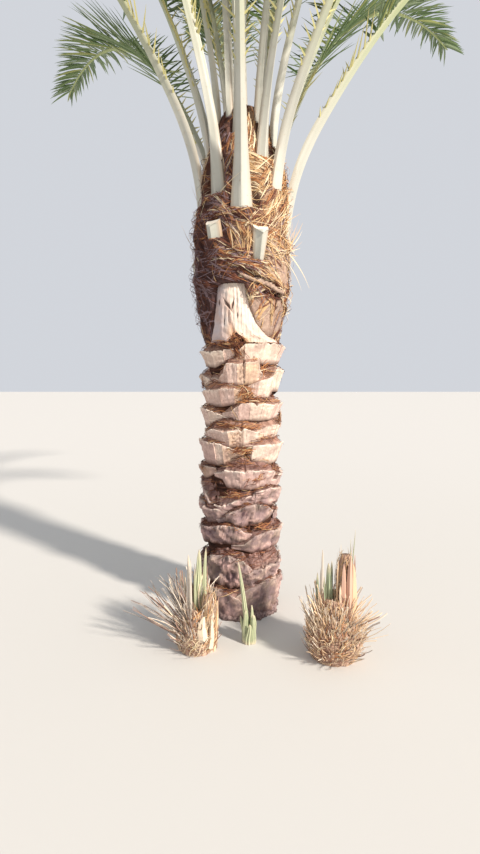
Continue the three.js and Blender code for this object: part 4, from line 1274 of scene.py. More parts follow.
MARGINS = [
    # the rolled edges of sheaths: azimuths, heights and half thicknesses along them
    ((-21, -12, -5, 4, 14, 25, 38, 54, 68), (2.098, 2.052, 2.024, 1.996, 1.984, 1.974, 1.958, 1.932, 1.898),
     (0.003, 0.006, 0.007, 0.009, 0.012, 0.015, 0.017, 0.014, 0.005)),
    ((-14, -4, 8, 18), (2.128, 2.122, 2.108, 2.09), (0.002, 0.005, 0.006, 0.002)),
    ((100, 118, 136, 154), (1.98, 2.0, 2.04, 2.07), (0.003, 0.013, 0.014, 0.004)),
    ((-158, -140, -122, -104), (2.07, 2.1, 2.13, 2.18), (0.003, 0.012, 0.014, 0.004)),
    ((-185, -168, -150, -134), (1.97, 1.935, 1.905, 1.885), (0.003, 0.013, 0.013, 0.003)),
]
# Where some stalks leave the fibre; the others do where they have come through it
LEAVES_FIBRE_AT = {2: 2.367, 7: 2.463, -1: 2.203, -3: 2.083}
PITS = [
    # azimuth, height, half width in degrees, half height, depth
    (14, 2.405, 7, 0.055, 0.03),
    (42, 1.918, 22, 0.02, 0.022),
    (-6, 2.31, 4, 0.02, 0.012),
    (28, 2.02, 3, 0.03, 0.008),
    (-54, 2.2, 8, 0.05, 0.02),
    (100, 2.3, 7, 0.05, 0.024),
    (160, 2.2, 9, 0.04, 0.022),
    (-120, 2.24, 8, 0.05, 0.024),
    (-165, 2.45, 8, 0.05, 0.022),
]
SHOWN_DEPTH = 0.042
FOLD_RADIUS = 0.27
MAT_DARK = (0.07, 0.04, 0.042, 1)
MAT_BROWN = (0.24, 0.115, 0.075, 1)
MAT_GOLD = (0.58, 0.38, 0.2, 1)
MAT_PINK = (0.64, 0.48, 0.38, 1)
STRAND_TONES = {
    # shares where nothing is said, and what golden, pinkish and dark add to them
    "dark": (0.16, 0.0, 0.0, 0.45),
    "maroon": (0.3, 0.1, 0.2, 0.4),
    "mauve": (0.06, 0.0, 0.25, 0.4),
    "orange": (0.28, 0.6, 0.3, 0.02),
    "golden": (0.14, 1.3, 0.5, 0.01),
    "straw": (0.06, 1.0, 0.5, 0.0),
}
WEAVE_ANGLE = 62
STRANDS_IN_BUNDLE = 4
NET_STRANDS = 6800
LOOSE_STRANDS = 1300
FRINGE_STRANDS = 420


def wrap_lump(azimuth, height):
    """The swells of the fibre solid, from its corners"""
    levels = np.interp(height, WRAP_HEIGHTS, np.arange(len(WRAP_HEIGHTS)))
    turns = (np.asarray(azimuth) / 360 * WRAP_SIDES) % WRAP_SIDES
    table = np.array([[wobble(round(360 / WRAP_SIDES * i), 40 + level) for i in range(WRAP_SIDES)]
                      for level in range(len(WRAP_HEIGHTS))])
    low, left = np.floor(levels).astype(int), np.floor(turns).astype(int)
    high, right = np.minimum(low + 1, len(WRAP_HEIGHTS) - 1), (left + 1) % WRAP_SIDES
    up, on = levels - low, turns - left
    return WRAP_LUMP * mix(mix(table[low, left], table[low, right], on),
                           mix(table[high, left], table[high, right], on), up)


def turned(azimuth):
    """The same azimuth from -180 to 180"""
    return (np.asarray(azimuth) + 180) % 360 - 180


def folds_at(azimuth, height):
    """How far the folds stand out of the wrap: gently on their upper side, steeply on their lower one"""
    total = np.zeros(np.broadcast(azimuth, height).shape)
    for middle, level, rise, half, width, out in FOLDS:
        along = turned(azimuth - middle)
        waver = 0.006 * np.sin(along * 0.19 + middle)
        across = height - level - along * rise - waver
        ends = np.clip(1.4 * (1 - np.abs(along) / half), 0, 1) ** 0.7
        side = np.where(across > 0, across / (1.6 * width), -across / (0.35 * width))
        total = np.maximum(total, out * ends * np.clip(1 - side**2, 0, 1))
    return total


def over_tall_base(azimuth, height):
    """1 where the tall base stands in front of the wrap, 0 away from it"""
    up = (height - TALL_FOOT) / TALL_HEIGHT
    left = np.interp(up, TALL_SHARES, TALL_LEFT)
    right = np.interp(up, TALL_SHARES, TALL_RIGHT)
    turn = turned(azimuth)
    inside = np.minimum(turn - left + 1.5, right - turn + 1.5) / 3
    return np.clip(inside, 0, 1) * np.clip((1.012 - up) * 60, 0, 1)


class StalkFoot:
    """The place where a stalk leaves the fibre, which closes in round it over a lip of torn fibre"""

    def __init__(self, stalk):
        self.azimuth = stalk.azimuth
        self.heights = stalk.line[:, 2]
        sideways = stalk.line[:, 0] - around_stem(0, 0, self.heights)[:, 0]
        middle = np.hypot(sideways, stalk.line[:, 1])
        self.keel = middle + 1.2 * stalk.half_depth(stalk.marks)
        self.half_angle = np.degrees(stalk.half_width(stalk.marks) / middle)
        plain = np.interp(self.heights, WRAP_HEIGHTS, WRAP_RADII)
        through = np.flatnonzero((self.keel > plain + 0.004) & (self.heights < WRAP_HEIGHTS[-1] - 0.02))
        leaves = self.heights[through[0]] - 0.03 if len(through) else WRAP_HEIGHTS[-1]
        self.leaves = LEAVES_FIBRE_AT.get(stalk.leaf, leaves)

    def shaped(self, radius, azimuth, height):
        turn = turned(azimuth - self.azimuth)
        keel = np.interp(height, self.heights, self.keel)
        beside = np.abs(turn) / np.interp(height, self.heights, self.half_angle)
        near = smooth((1.5 - beside) / 0.4)
        edge = self.leaves + 0.004 * np.sin(turn * 1.3) + 0.003 * np.sin(turn * 3.1)
        above = smooth((height - edge) / 0.012)
        covered = near * smooth((height - self.heights[0]) / 0.05) * (1 - above)
        radius = mix(radius, np.maximum(radius, np.minimum(keel + 0.007, radius + 0.06)), covered)
        shown = near * above * (height < self.leaves + 0.45)
        return mix(radius, np.minimum(radius, keel - SHOWN_DEPTH), shown)


STALK_FEET = [StalkFoot(stalk) for stalk in FRONDS + stubs]


def wrap_radius(azimuth, height):
    radius = np.interp(height, WRAP_HEIGHTS, WRAP_RADII) + wrap_lump(azimuth, height)
    radius = radius + folds_at(azimuth, height)
    for middle, level, half, high, depth in PITS:
        inside = 1 - (turned(azimuth - middle) / half) ** 2 - ((height - level) / high) ** 2
        radius = radius - depth * smooth(np.clip(inside, 0, 1) * 1.4)
    for foot in STALK_FEET:
        radius = foot.shaped(radius, azimuth, height)
    return mix(radius, stem_radius(height) - 0.01, over_tall_base(azimuth, height))


def region_shares(azimuth, height):
    """How much each region has a say at a place, at most 1 in all, with the regions along the last axis"""
    azimuth, height = np.broadcast_arrays(azimuth, height)
    table = np.array(REGIONS)
    sideways = turned(azimuth[..., None] - table[:, 0]) / table[:, 2]
    upright = (height[..., None] - table[:, 1]) / table[:, 3]
    shares = 1.3 * np.exp(-(sideways**4) - upright**4)
    return shares / np.maximum(shares.sum(axis=-1, keepdims=True), 1)


def wrap_colouring(azimuth, height):
    """How golden, pinkish, dark and smooth the fibre is; its dark is in part painted shade"""
    shares = region_shares(azimuth, height)
    return [(shares * np.array(REGIONS)[:, column]).sum(axis=-1) for column in (6, 7, 8, 9)]


def wrap_shape():
    height = np.linspace(WRAP_HEIGHTS[0], WRAP_HEIGHTS[-1], WRAP_ROWS)[:, None]
    azimuth = all_round(WRAP_COLUMNS)
    radius = wrap_radius(azimuth, height)
    plain = around_stem(radius, azimuth, height)
    matted = 0.004 * unevenness(plain, 0.07, 51) + 0.0026 * unevenness(plain * [1, 1, 2.2], 0.022, 52)
    golden, pinkish, dark, calm = wrap_colouring(azimuth, height)
    ragged_end = 0.016 * (unevenness(around_stem(0.25, azimuth, 0.0), 0.05, 53) + 0.4)
    ending = 1 - smooth((height - WRAP_HEIGHTS[0]) / 0.05)
    points = around_stem(radius + matted * (1 - 0.6 * calm), azimuth, height - ragged_end * ending)
    low = points[0] * [0.82, 0.82, 1] + [0, 0, 0.01]
    top = points[-1] * [0.05, 0.05, 1] + [0, 0, -0.03]
    points = np.concatenate([low[None], points, top[None]])
    marks = {"golden": golden, "pinkish": pinkish, "dark": dark}
    marks = {name: np.pad(values, ((1, 1), (0, 0)), mode="edge") for name, values in marks.items()}
    sideways, height = np.radians(azimuth) * USUAL_RADIUS, points[..., 2]
    return sheet(points, (height - 0.35 * sideways, sideways + 0.35 * height, 0.0), closed=True, **marks)


def wrap_finish():
    material, tree = new_finish("fibre_mat", 0.9, 0.15)
    place = mark(tree, "grain", "Vector")
    inputs = {"Vector": place, "Angle": math.radians(WEAVE_ANGLE)}
    rotated = add_node(tree, "VectorRotate", inputs, rotation_type="Z_AXIS").outputs["Vector"]
    one_way = grained(tree, 330.0, 15.0, place)
    other_way = grained(tree, 300.0, 13.0, rotated)
    woven = worked_out("MAXIMUM", one_way["Height"], other_way["Height"])
    strand = stretched(woven, 0.48, 0.66)
    colour = blended(strand, MAT_DARK, MAT_BROWN)
    golden = product(mark(tree, "golden"), stretched(strand, 0, 1, 0.3, 0.95))
    colour = blended(golden, colour, MAT_GOLD)
    pinkish = product(mark(tree, "pinkish"), stretched(strand, 0, 1, 0.6, 1.0))
    colour = blended(pinkish, colour, MAT_PINK)
    colour = blended(product(patches(tree, 0.03), 0.35), colour, MAT_BROWN)
    # The dark mark: dark netting, and painted shade above the tall base, in hollows and on the left side.
    colour = blended(product(mark(tree, "dark"), 0.75), colour, MAT_DARK)
    return dressed(material, colour, woven, 0.006)


def tones_by_place(chance, azimuth, height):
    golden, pinkish, dark, _ = wrap_colouring(azimuth, height)
    # Strands drawn where the fibre is dark take dark tones, so the painted shade carries into them too.
    chances = np.array(list(STRAND_TONES.values())) @ np.array([1 - 0.95 * dark, golden, pinkish, dark])
    chances = np.cumsum(chances / chances.sum(axis=0), axis=0)
    drawn = (chance.random(len(azimuth)) > chances).sum(axis=0)
    return np.array(list(STRAND_TONES))[np.minimum(drawn, len(STRAND_TONES) - 1)]


def strand_slopes(chance, azimuth, height, woven):
    """The slope of the region a strand lies in, or else one of the two ways of the weave"""
    shares = np.cumsum(region_shares(azimuth, height), axis=-1)
    region = (chance.random(len(azimuth))[:, None] > shares).sum(axis=-1)
    table = np.array([row[4:6] for row in REGIONS] + [(0, 0)], dtype=float)
    slope, spread = table[region].T
    slope = slope + spread * chance.normal(0, 1, len(azimuth))
    either = np.where(chance.random(len(azimuth)) < 0.55, -34, 38) + chance.normal(0, woven, len(azimuth))
    return np.where(region == len(REGIONS), either, slope)


def wrap_strands():
    strands = Strands()
    chance = np.random.default_rng(61)

    def lay(azimuth, height, slope, length, lift, width, curl, stations, bundle=1):
        smoothness = wrap_colouring(azimuth, height)[3]
        kept = (over_tall_base(azimuth, height) < 0.5) & (chance.random(len(azimuth)) > 0.9 * smoothness)
        tones = np.repeat(tones_by_place(chance, azimuth[kept], height[kept]), bundle)
        azimuth, height, slope, length, lift, width = (
            np.repeat(value[kept], bundle) for value in (azimuth, height, slope, length, lift, width))
        if bundle > 1:
            azimuth = azimuth + chance.normal(0, 0.9, len(azimuth))
            height = height + chance.normal(0, 0.0032, len(azimuth))
            lift = lift + chance.uniform(0, 0.003, len(azimuth))
        line, away = draped(chance, azimuth, height, slope, length, wrap_radius, lift, stations, curl, bundle)
        strands.add(tones, line, away, tapered(width, stations))

    count = NET_STRANDS // STRANDS_IN_BUNDLE
    azimuth = chance.uniform(-180, 180, count)
    height = chance.uniform(WRAP_HEIGHTS[0], WRAP_HEIGHTS[-1] - 0.05, count)
    lay(azimuth, height, strand_slopes(chance, azimuth, height, 14), chance.uniform(0.06, 0.18, count),
        chance.uniform(0.001, 0.007, count), chance.uniform(0.0022, 0.0042, count), 0.35, 8,
        STRANDS_IN_BUNDLE)

    count = LOOSE_STRANDS
    azimuth = chance.uniform(-180, 180, count)
    height = chance.uniform(1.76, 2.75, count)
    lift = chance.uniform(0.004, 0.014, count) * (1 + (np.abs(np.abs(azimuth) - 80) < 22))
    lay(azimuth, height, strand_slopes(chance, azimuth, height, 24), chance.uniform(0.1, 0.26, count),
        lift, chance.uniform(0.0018, 0.0044, count), 0.7, 10)

    count = FRINGE_STRANDS
    azimuth = chance.uniform(-180, 180, count)
    height = WRAP_HEIGHTS[0] + chance.uniform(-0.02, 0.05, count)
    lay(azimuth, height, chance.normal(-80, 35, count), chance.uniform(0.03, 0.09, count),
        chance.uniform(0.001, 0.01, count), chance.uniform(0.0015, 0.0035, count), 0.7, 7)

    for middle, level, rise, half, width, out in FOLDS:
        count = int(half * 3)
        azimuth = middle + chance.uniform(-half, half, count) * 0.85
        height = level + (azimuth - middle) * rise + chance.uniform(-0.25, 0.9, count) * width
        slope = np.degrees(math.atan2(rise, math.radians(FOLD_RADIUS))) + chance.normal(0, 9, count)
        lay(azimuth, height, slope, chance.uniform(0.08, 0.24, count),
            chance.uniform(0.002, 0.008, count), chance.uniform(0.002, 0.0045, count), 0.25, 9)
    return strands


def rolled_margins():
    """The rolled edges of sheaths, lumpy ropes of matted fibre that lie on the folds"""
    parts = []
    for number, (azimuths, heights, thicknesses) in enumerate(MARGINS):
        along = np.linspace(0, 1, 90)
        places = np.linspace(0, 1, len(azimuths))
        azimuth = np.interp(along, places, azimuths)
        height = np.interp(along, places, heights) + 0.004 * np.sin(along * 38 + number) * (1 - along)
        thick = np.interp(along, places, thicknesses)
        turn = np.linspace(0, 2 * math.pi, 14, endpoint=False)[None, :]
        out = 0.4 * thick[:, None] + np.cos(turn) * thick[:, None] * 0.8
        up = np.sin(turn) * thick[:, None]
        radius = wrap_radius(azimuth, height)[:, None] + out
        points = around_stem(radius, azimuth[:, None], height[:, None] + up)
        swell = unevenness(points, 0.02, 71) * 0.35 + unevenness(points, 0.007, 72) * 0.2
        points = points + outward(azimuth)[:, None] * (swell * thick[:, None])[..., None]
        length = np.radians(azimuth)[:, None] * FOLD_RADIUS
        parts.append(sheet(points, (up * 1.5 + 0.2 * length, length, number), closed=True,
                           golden=0.5, pinkish=1.0, dark=0.0))
    return joined(parts)


def loose_straws():
    """Dry flower stalks and shreds of sheath that stick out of the wrap"""
    strands = Strands()
    straws = [
        # azimuth, height, length, turn from the stem's side, slope, width, tone
        (72, 2.19, 0.29, 62, -41, 0.01, "straw"),
        (70, 2.14, 0.22, 60, -49, 0.006, "straw"),
        (70, 2.17, 0.2, 66, 58, 0.006, "golden"),
        (76, 2.2, 0.17, 60, 72, 0.005, "golden"),
        (72, 2.2, 0.23, 60, 52, 0.009, "golden"),
        (76, 2.19, 0.22, 62, 46, 0.007, "straw"),
        (68, 2.22, 0.2, 64, 56, 0.008, "tan"),
        (74, 2.18, 0.17, 60, 34, 0.007, "tan"),
        (79, 2.21, 0.16, 62, 60, 0.009, "golden"),
        (70, 2.18, 0.14, 66, 20, 0.006, "straw"),
        (66, 2.21, 0.17, 68, 66, 0.007, "tan"),
        (75, 2.17, 0.12, 62, 8, 0.007, "golden"),
        (-38, 2.46, 0.2, 88, 26, 0.008, "straw"),
        (8, 2.55, 0.18, 82, 40, 0.012, "straw"),
        (46, 2.3, 0.22, 84, 30, 0.006, "golden"),
        (-96, 2.2, 0.2, 64, 40, 0.006, "golden"),
        (150, 2.3, 0.24, 70, 34, 0.008, "straw"),
        (-150, 2.1, 0.2, 66, -30, 0.007, "straw"),
        (115, 2.05, 0.18, 60, -42, 0.006, "golden"),
        (-120, 2.45, 0.2, 75, 52, 0.006, "golden"),
    ]
    share = np.linspace(0, 1, 8)[:, None]
    for azimuth, height, length, sideways, slope, width, tone in straws:
        start = around_stem(wrap_radius(azimuth, height) - 0.01, azimuth, height)
        away, side = outward(azimuth), outward(azimuth + 90)
        turn, rise = math.radians(sideways), math.radians(slope)
        level = away * math.cos(turn) + side * math.sin(turn)
        direction = level * math.cos(rise) + np.array([0, 0, math.sin(rise)])
        line = start + direction * length * share + away * 0.05 * length * np.sin(share * math.pi)
        facing = np.broadcast_to(outward(azimuth + sideways - 90), line.shape)
        strands.add(np.array([tone]), line[None], facing[None], width * (1.1 - share.T))
    return strands


WRAP_FINISH = wrap_finish()
add_piece("wrap_mat", wrap_shape(), WRAP_FINISH, ["fibre_wrap"])
add_piece("wrap_margins", rolled_margins(), WRAP_FINISH, ["fibre_wrap"])
wrap_strands().finish("wrap_strands", "fibre", ["fibre_wrap"])
loose_straws().finish("straws", "fibre", ["fibre_wrap"])


# Three offshoots that were cut back stand at the foot of the trunk. Two are short fibrous stubs under a
# bristle of dry cut stalks, straw-coloured, golden and grey, with folded green spears and a column of brown
# sheath fibre. The middle one is a single spear among short green leaf bases.

OFFSHOOTS = [
    {
        "name": "offshoot_left",
        "foot": (-0.232, -0.54),
        "stem": [(0, 0.084), (0.07, 0.096), (0.15, 0.072), (0.205, 0.038)],
        "stalks": 190,
        "fan": (-110, 210),
        "lengths": (0.26, 0.41),
        "widths": (0.0022, 0.0055),
        "shortened_front": 0.5,
        "shreds": 190,
        "tones": {"straw": 0.12, "pale": 0.18, "greyed": 0.44, "brown": 0.26},
        # each with its place beside the foot, top, width, lean, narrower blades that hug it, and tone
        "spears": [
            (0.004, 0.04, 0.525, 0.07, 0.006, 0, 3, "fresh"),
            (-0.034, -0.016, 0.51, 0.052, -0.006, 0.008, 2, "faded"),
        ],
        # its place beside the foot, top, radius and lean
        "sheath": (0.058, -0.008, 0.3, 0.042, 0.014, 0),
        # each with its place beside the foot, lower end, top, width, lean and tone
        "flaps": [
            (0.036, -0.084, 0.085, 0.12, 0.052, 0.006, 0.02, "straw"),
            (0.062, -0.044, 0, 0.285, 0.024, 0.004, 0.004, "golden"),
            (0.08, -0.036, 0, 0.292, 0.026, 0.012, 0, "pale"),
            (0.094, -0.02, 0, 0.27, 0.03, 0.02, 0, "golden"),
            (0.078, -0.066, 0.04, 0.15, 0.034, 0.01, 0.01, "straw"),
            (0.1, 0.004, 0, 0.285, 0.022, 0.02, 0, "brown"),
            (0.06, 0.034, 0, 0.28, 0.036, 0.012, 0.012, "golden"),
        ],
    },
    {
        "name": "offshoot_right",
        "foot": (0.486, -0.6),
        "stem": [(0, 0.116), (0.09, 0.136), (0.2, 0.104), (0.29, 0.056)],
        "stalks": 330,
        "fan": (60, 350),
        "lengths": (0.14, 0.28),
        "widths": (0.002, 0.0065),
        "shortened_front": 0.3,
        "shreds": 620,
        "tones": {"golden": 0.3, "straw": 0.36, "pale": 0.18, "greyed": 0.06, "brown": 0.1},
        "spears": [
            (-0.064, 0.016, 0.55, 0.032, 0.004, 0.008, 1, "faded"),
            (-0.028, 0.03, 0.475, 0.076, 0.004, 0, 4, "deep"),
        ],
        "sheath": (0.056, 0.04, 0.515, 0.058, 0.01, 0.006),
        "flaps": [
            (0.012, 0.002, 0, 0.5, 0.022, 0.004, 0, "golden"),
            (0.036, -0.02, 0, 0.49, 0.046, 0.006, 0.006, "salmon"),
            (0.026, -0.026, 0, 0.38, 0.03, 0, 0.004, "straw"),
            (0.106, 0.012, 0, 0.525, 0.026, 0.002, 0, "salmon"),
            (0.07, -0.022, 0, 0.53, 0.05, 0.012, 0.008, "salmon"),
            (0.09, 0.07, 0, 0.5, 0.03, 0.004, 0.004, "brown"),
            (0.066, 0.03, 0, 0.655, 0.012, 0.044, 0, "fresh"),
            (0.076, 0.036, 0, 0.6, 0.014, 0.012, 0, "fresh"),
            (0.09, -0.016, 0, 0.485, 0.054, 0.004, 0.004, "golden"),
        ],
    },
    {
        "name": "offshoot_centre",
        "foot": (0.05, -0.47),
        "spears": [(0, 0, 0.445, 0.038, -0.058, 0, 0, "fresh")],
        "leaf_bases": 8,
    },
]
STALK_LEANS = (6, 64)
DRY_STALK_OUTLINE = [(-1, 0.8), (0, -0.2), (1, 0.8), (1, -0.4), (0, -1.3), (-1, -0.4)]
UPRIGHT_STALK_SHARE = 0.6
SHRED_LENGTHS = (0.05, 0.13)
SHRED_WIDTHS = (0.0014, 0.0042)
DRY_TONES = {
    "straw": (0.76, 0.62, 0.46, 1),
    "golden": (0.76, 0.54, 0.35, 1),
    "salmon": (0.62, 0.39, 0.29, 1),
    "pale": (0.8, 0.69, 0.57, 1),
    "greyed": (0.38, 0.33, 0.29, 1),
    "brown": (0.33, 0.21, 0.16, 1),
}
SHEATH_TAN = (0.66, 0.43, 0.31, 1)
SHEATH_DARK = (0.26, 0.15, 0.11, 1)
SPEAR_TONES = {
    "fresh": ((0.5, 0.51, 0.33, 1), (0.3, 0.34, 0.2, 1)),
    "faded": ((0.66, 0.58, 0.5, 1), (0.46, 0.42, 0.32, 1)),
    "deep": ((0.33, 0.37, 0.24, 1), (0.17, 0.22, 0.14, 1)),
}
SPEAR_PLEATS = 3
SPEAR_ROWS = 26


def column_place(foot, lean, top):
    """Places round a leaning column that stands on a foot"""
    def place(radius, azimuth, height):
        radius, turn, height = np.broadcast_arrays(radius, np.radians(azimuth), height)
        share = height / top
        return np.stack([foot[0] + lean[0] * share + radius * np.sin(turn),
                         foot[1] + lean[1] * share - radius * np.cos(turn), height], axis=-1)
    return place


def column_shape(place, heights, radii, seed, rows=40, columns=36):
    height = np.linspace(0, heights[-1], rows)[:, None]
    azimuth = all_round(columns)
    radius = np.interp(height, heights, radii)
    rough = 0.05 * radius * unevenness(place(radius, azimuth, height), 0.05, seed)
    points = place(radius + rough, azimuth, height)
    middle = points[-1].mean(axis=0)
    points = np.concatenate([points, (middle + (points[-1] - middle) * 0.05)[None]])
    return sheet(points, (np.radians(azimuth) * radii[0], points[..., 2], seed), closed=True)


def dry_stalks(shoot, chance):
    """Flat dry stalks that fan out of a stub by the golden angle, bowed, channelled and cut at their ends"""
    count = shoot["stalks"]
    rooted = shoot.get("rooted", 0.6)
    heights, radii = zip(*shoot["stem"])
    order = np.arange(count)
    share = (order + 0.5) / count
    middle, spread = shoot["fan"]
    turn = np.radians(spread * ((order * 0.618) % 1 - 0.5))
    azimuth = math.radians(middle) + turn
    openness = 0.45 + 0.55 * np.maximum(0, np.cos(turn))
    lean = np.radians((mix(*STALK_LEANS, share**0.8) + chance.normal(0, 5, count)) * openness).clip(0.02, 1.2)
    height = mix(0.8 * heights[-1], shoot.get("lowest", 0.04), share)
    radius = rooted * np.interp(height, heights, radii)
    level = np.stack([np.sin(azimuth), -np.cos(azimuth), np.zeros(count)], axis=-1)
    root = np.array([*shoot["foot"], 0]) + level * radius[:, None]
    root[:, 2] = height
    direction = level * np.sin(lean)[:, None]
    direction[:, 2] = np.cos(lean)
    length = mix(*shoot["lengths"], chance.random(count)) * np.where(chance.random(count) < 0.2, 0.62, 1.0)
    length *= mix(UPRIGHT_STALK_SHARE, 1, share)
    length *= 1 - shoot["shortened_front"] * smooth(2 * np.cos(azimuth) - 0.4)
    across = np.stack([-direction[:, 1], direction[:, 0], np.zeros(count)], axis=-1)
    across /= np.linalg.norm(across, axis=1, keepdims=True)
    roll = chance.normal(0, 0.7, count)[:, None]
    inner = np.cross(across, direction)
    across, inner = across * np.cos(roll) + inner * np.sin(roll), inner * np.cos(roll) - across * np.sin(roll)
    t = np.linspace(0, 1, 6)[None, :, None]
    bow = (chance.normal(0.03, 0.05, count) * length)[:, None, None]
    kink = (chance.normal(0, 0.03, count) * length)[:, None, None]
    line = root[:, None] + direction[:, None] * (length[:, None, None] * t)
    line = line - inner[:, None] * bow * np.sin(t * math.pi)
    line = line + across[:, None] * kink * np.sin(t * 2 * math.pi)
    half = chance.uniform(*shoot["widths"], count)[:, None, None] * (1 - 0.45 * t)
    thick = half * 0.45
    slant = np.zeros((1, 6, 1))
    slant[0, -1, 0] = 0.9
    corners = []
    for sideways, deep in DRY_STALK_OUTLINE:
        corner = line + across[:, None] * half * sideways + inner[:, None] * thick * deep
        corners.append(corner + direction[:, None] * half * slant * sideways)
    points = np.stack(corners, axis=2)
    end = points[:, -1:].mean(axis=2, keepdims=True)
    closing = end + (points[:, -1:] - end) * 0.06
    points = np.concatenate([points, closing], axis=1)
    points[..., 2] = np.maximum(points[..., 2], 0.003)
    along = (length[:, None] * np.linspace(0, 1, 7))[..., None]
    sides = np.array([-1, 0, 1, 1, 0, -1]) * 0.006
    return points, laid_out(points.shape[:3], sides, along, (order * 1.9)[:, None, None])


def pleated_blade(foot, top, lean, width, turn, seed, pleats=SPEAR_PLEATS):
    """A young leaf still pleated: a zigzag section, wide at the foot, that narrows to a slanting tip"""
    rise = np.linspace(0, 1, SPEAR_ROWS)
    line = np.array(foot) + rise[:, None] * np.array([*lean, top])
    widths = width * np.interp(rise, [0, 0.35, 0.7, 0.93, 1], [1, 0.95, 0.66, 0.36, 0.07])
    depths = width * np.interp(rise, [0, 0.35, 0.7, 1], [0.3, 0.25, 0.19, 0.05])
    folds = np.linspace(-1, 1, 2 * pleats + 1)
    front = [(x, -math.cos(x * 1.4) - (0.5 if i % 2 else 0.0)) for i, x in enumerate(folds)]
    back = [(x, math.cos(x * 1.4) + (0.4 if i % 2 else 0.0)) for i, x in enumerate(folds[::-1])][1:-1]
    outline = np.array(front + back)
    spin = np.array([[math.cos(turn), -math.sin(turn)], [math.sin(turn), math.cos(turn)]])
    sideways = outline[None, :, 0] * widths[:, None] / 2
    flat = np.stack([sideways, outline[None, :, 1] * depths[:, None]], axis=-1)
    points = np.concatenate([line[:, None, :2] + flat @ spin,
                             np.broadcast_to(line[:, None, 2:], (SPEAR_ROWS, len(outline), 1))], axis=2)
    points[..., 0] += 0.08 * width * np.sin(rise * 5 + seed)[:, None]
    return sheet(points, (outline[:, 0] * 0.02, points[..., 2], seed), closed=True, rise=rise[:, None])


def spear_shape(foot, top, width, lean, blades, seed):
    """The folded spear, with narrower blades of the next leaves that hug it"""
    chance = np.random.default_rng(seed)
    parts = [pleated_blade(foot, top, lean, width * 0.8, 0.35 * wobble(seed, 3), seed)]
    for number in range(blades):
        sideways = (number - (blades - 1) / 2) * 0.34 * width + chance.normal(0, 0.1) * width
        forward = -0.3 * width if number % 2 else 0.24 * width
        own_lean = np.add(lean, (0.5 * sideways, 0.3 * forward))
        own_top = top * chance.uniform(0.72, 1.02)
        own_width = width * chance.uniform(0.3, 0.5)
        parts.append(pleated_blade(np.add(foot, [sideways, forward, 0]), own_top, own_lean, own_width,
                                   chance.normal(0, 0.4), seed + number + 9, pleats=1))
    return joined(parts)


def green_leaf_bases(foot, count, seed):
    """Short ribbed bases of the next leaves, that stand flared round the foot of a spear"""
    parts = []
    for number in range(count):
        turn = math.radians(LEAF_TURN * number)
        level = np.array([math.sin(turn), -math.cos(turn)])
        share = number / count
        lean = level * mix(0.03, -0.006, share) + np.array([-0.014, 0]) * share
        parts.append(pleated_blade([*(foot + level * 0.02), 0], mix(0.12, 0.23, share), lean,
                                   mix(0.046, 0.036, share), turn, seed + number))
    return joined(parts)


def spear_finish(tone, bright, dark):
    material, tree = new_finish(f"spear_{tone}", 0.5, 0.35)
    grain = grained(tree, 420.0, 60.0)
    rise = mark(tree, "rise")
    colour = blended(grain["Streaks"], bright, dark)
    colour = blended(stretched(rise, 0.0, 0.2, 0.6, 0.0), colour, DRY_TONES["straw"])
    colour = blended(stretched(rise, 0.86, 1.0, 0.0, 0.7), colour, DRY_TONES["straw"])
    return dressed(material, colour, grain["Height"], 0.0015)


def sheath_finish():
    material, tree = new_finish("dry_sheath", 0.9, 0.12)
    grain = grained(tree, 300.0, 22.0)
    colour = blended(stretched(grain["Streaks"], 0.2, 0.8), SHEATH_DARK, SHEATH_TAN)
    colour = blended(product(patches(tree, 0.03, 0.5, 0.1), 0.45), colour, DRY_TONES["brown"])
    return dressed(material, colour, grain["Height"], 0.005)


def column_fibres(place, heights, radii, count, seed, upright, curl=0.5):
    strands = Strands()
    chance = np.random.default_rng(seed)
    azimuth = chance.uniform(0, 360, count)
    height = chance.uniform(0.02, heights[-1] * 0.98, count)
    length = chance.uniform(0.05, 0.15, count)
    slope = upright + chance.normal(0, 18, count)
    share = np.linspace(-0.5, 0.5, 7)[None, :]
    heading = np.radians(slope[:, None]) + chance.normal(0, curl, (count, 1)) * share
    radius = np.interp(height, heights, radii)
    around = azimuth[:, None] + np.degrees(np.cos(heading) * length[:, None] * share / radius[:, None])
    level = (height[:, None] + np.sin(heading) * length[:, None] * share).clip(0.004, None)
    lift = chance.uniform(0.001, 0.012, (count, 1)) * (0.6 + share + 0.5)
    points = place(np.interp(level, heights, radii) + lift, around, level)
    tones = drawn_tones(chance, count, maroon=0.05, orange=0.08, tan=0.36, golden=0.22, straw=0.29)
    strands.add(tones, points, outward(around), tapered(chance.uniform(0.0016, 0.0046, count), 7))
    return strands


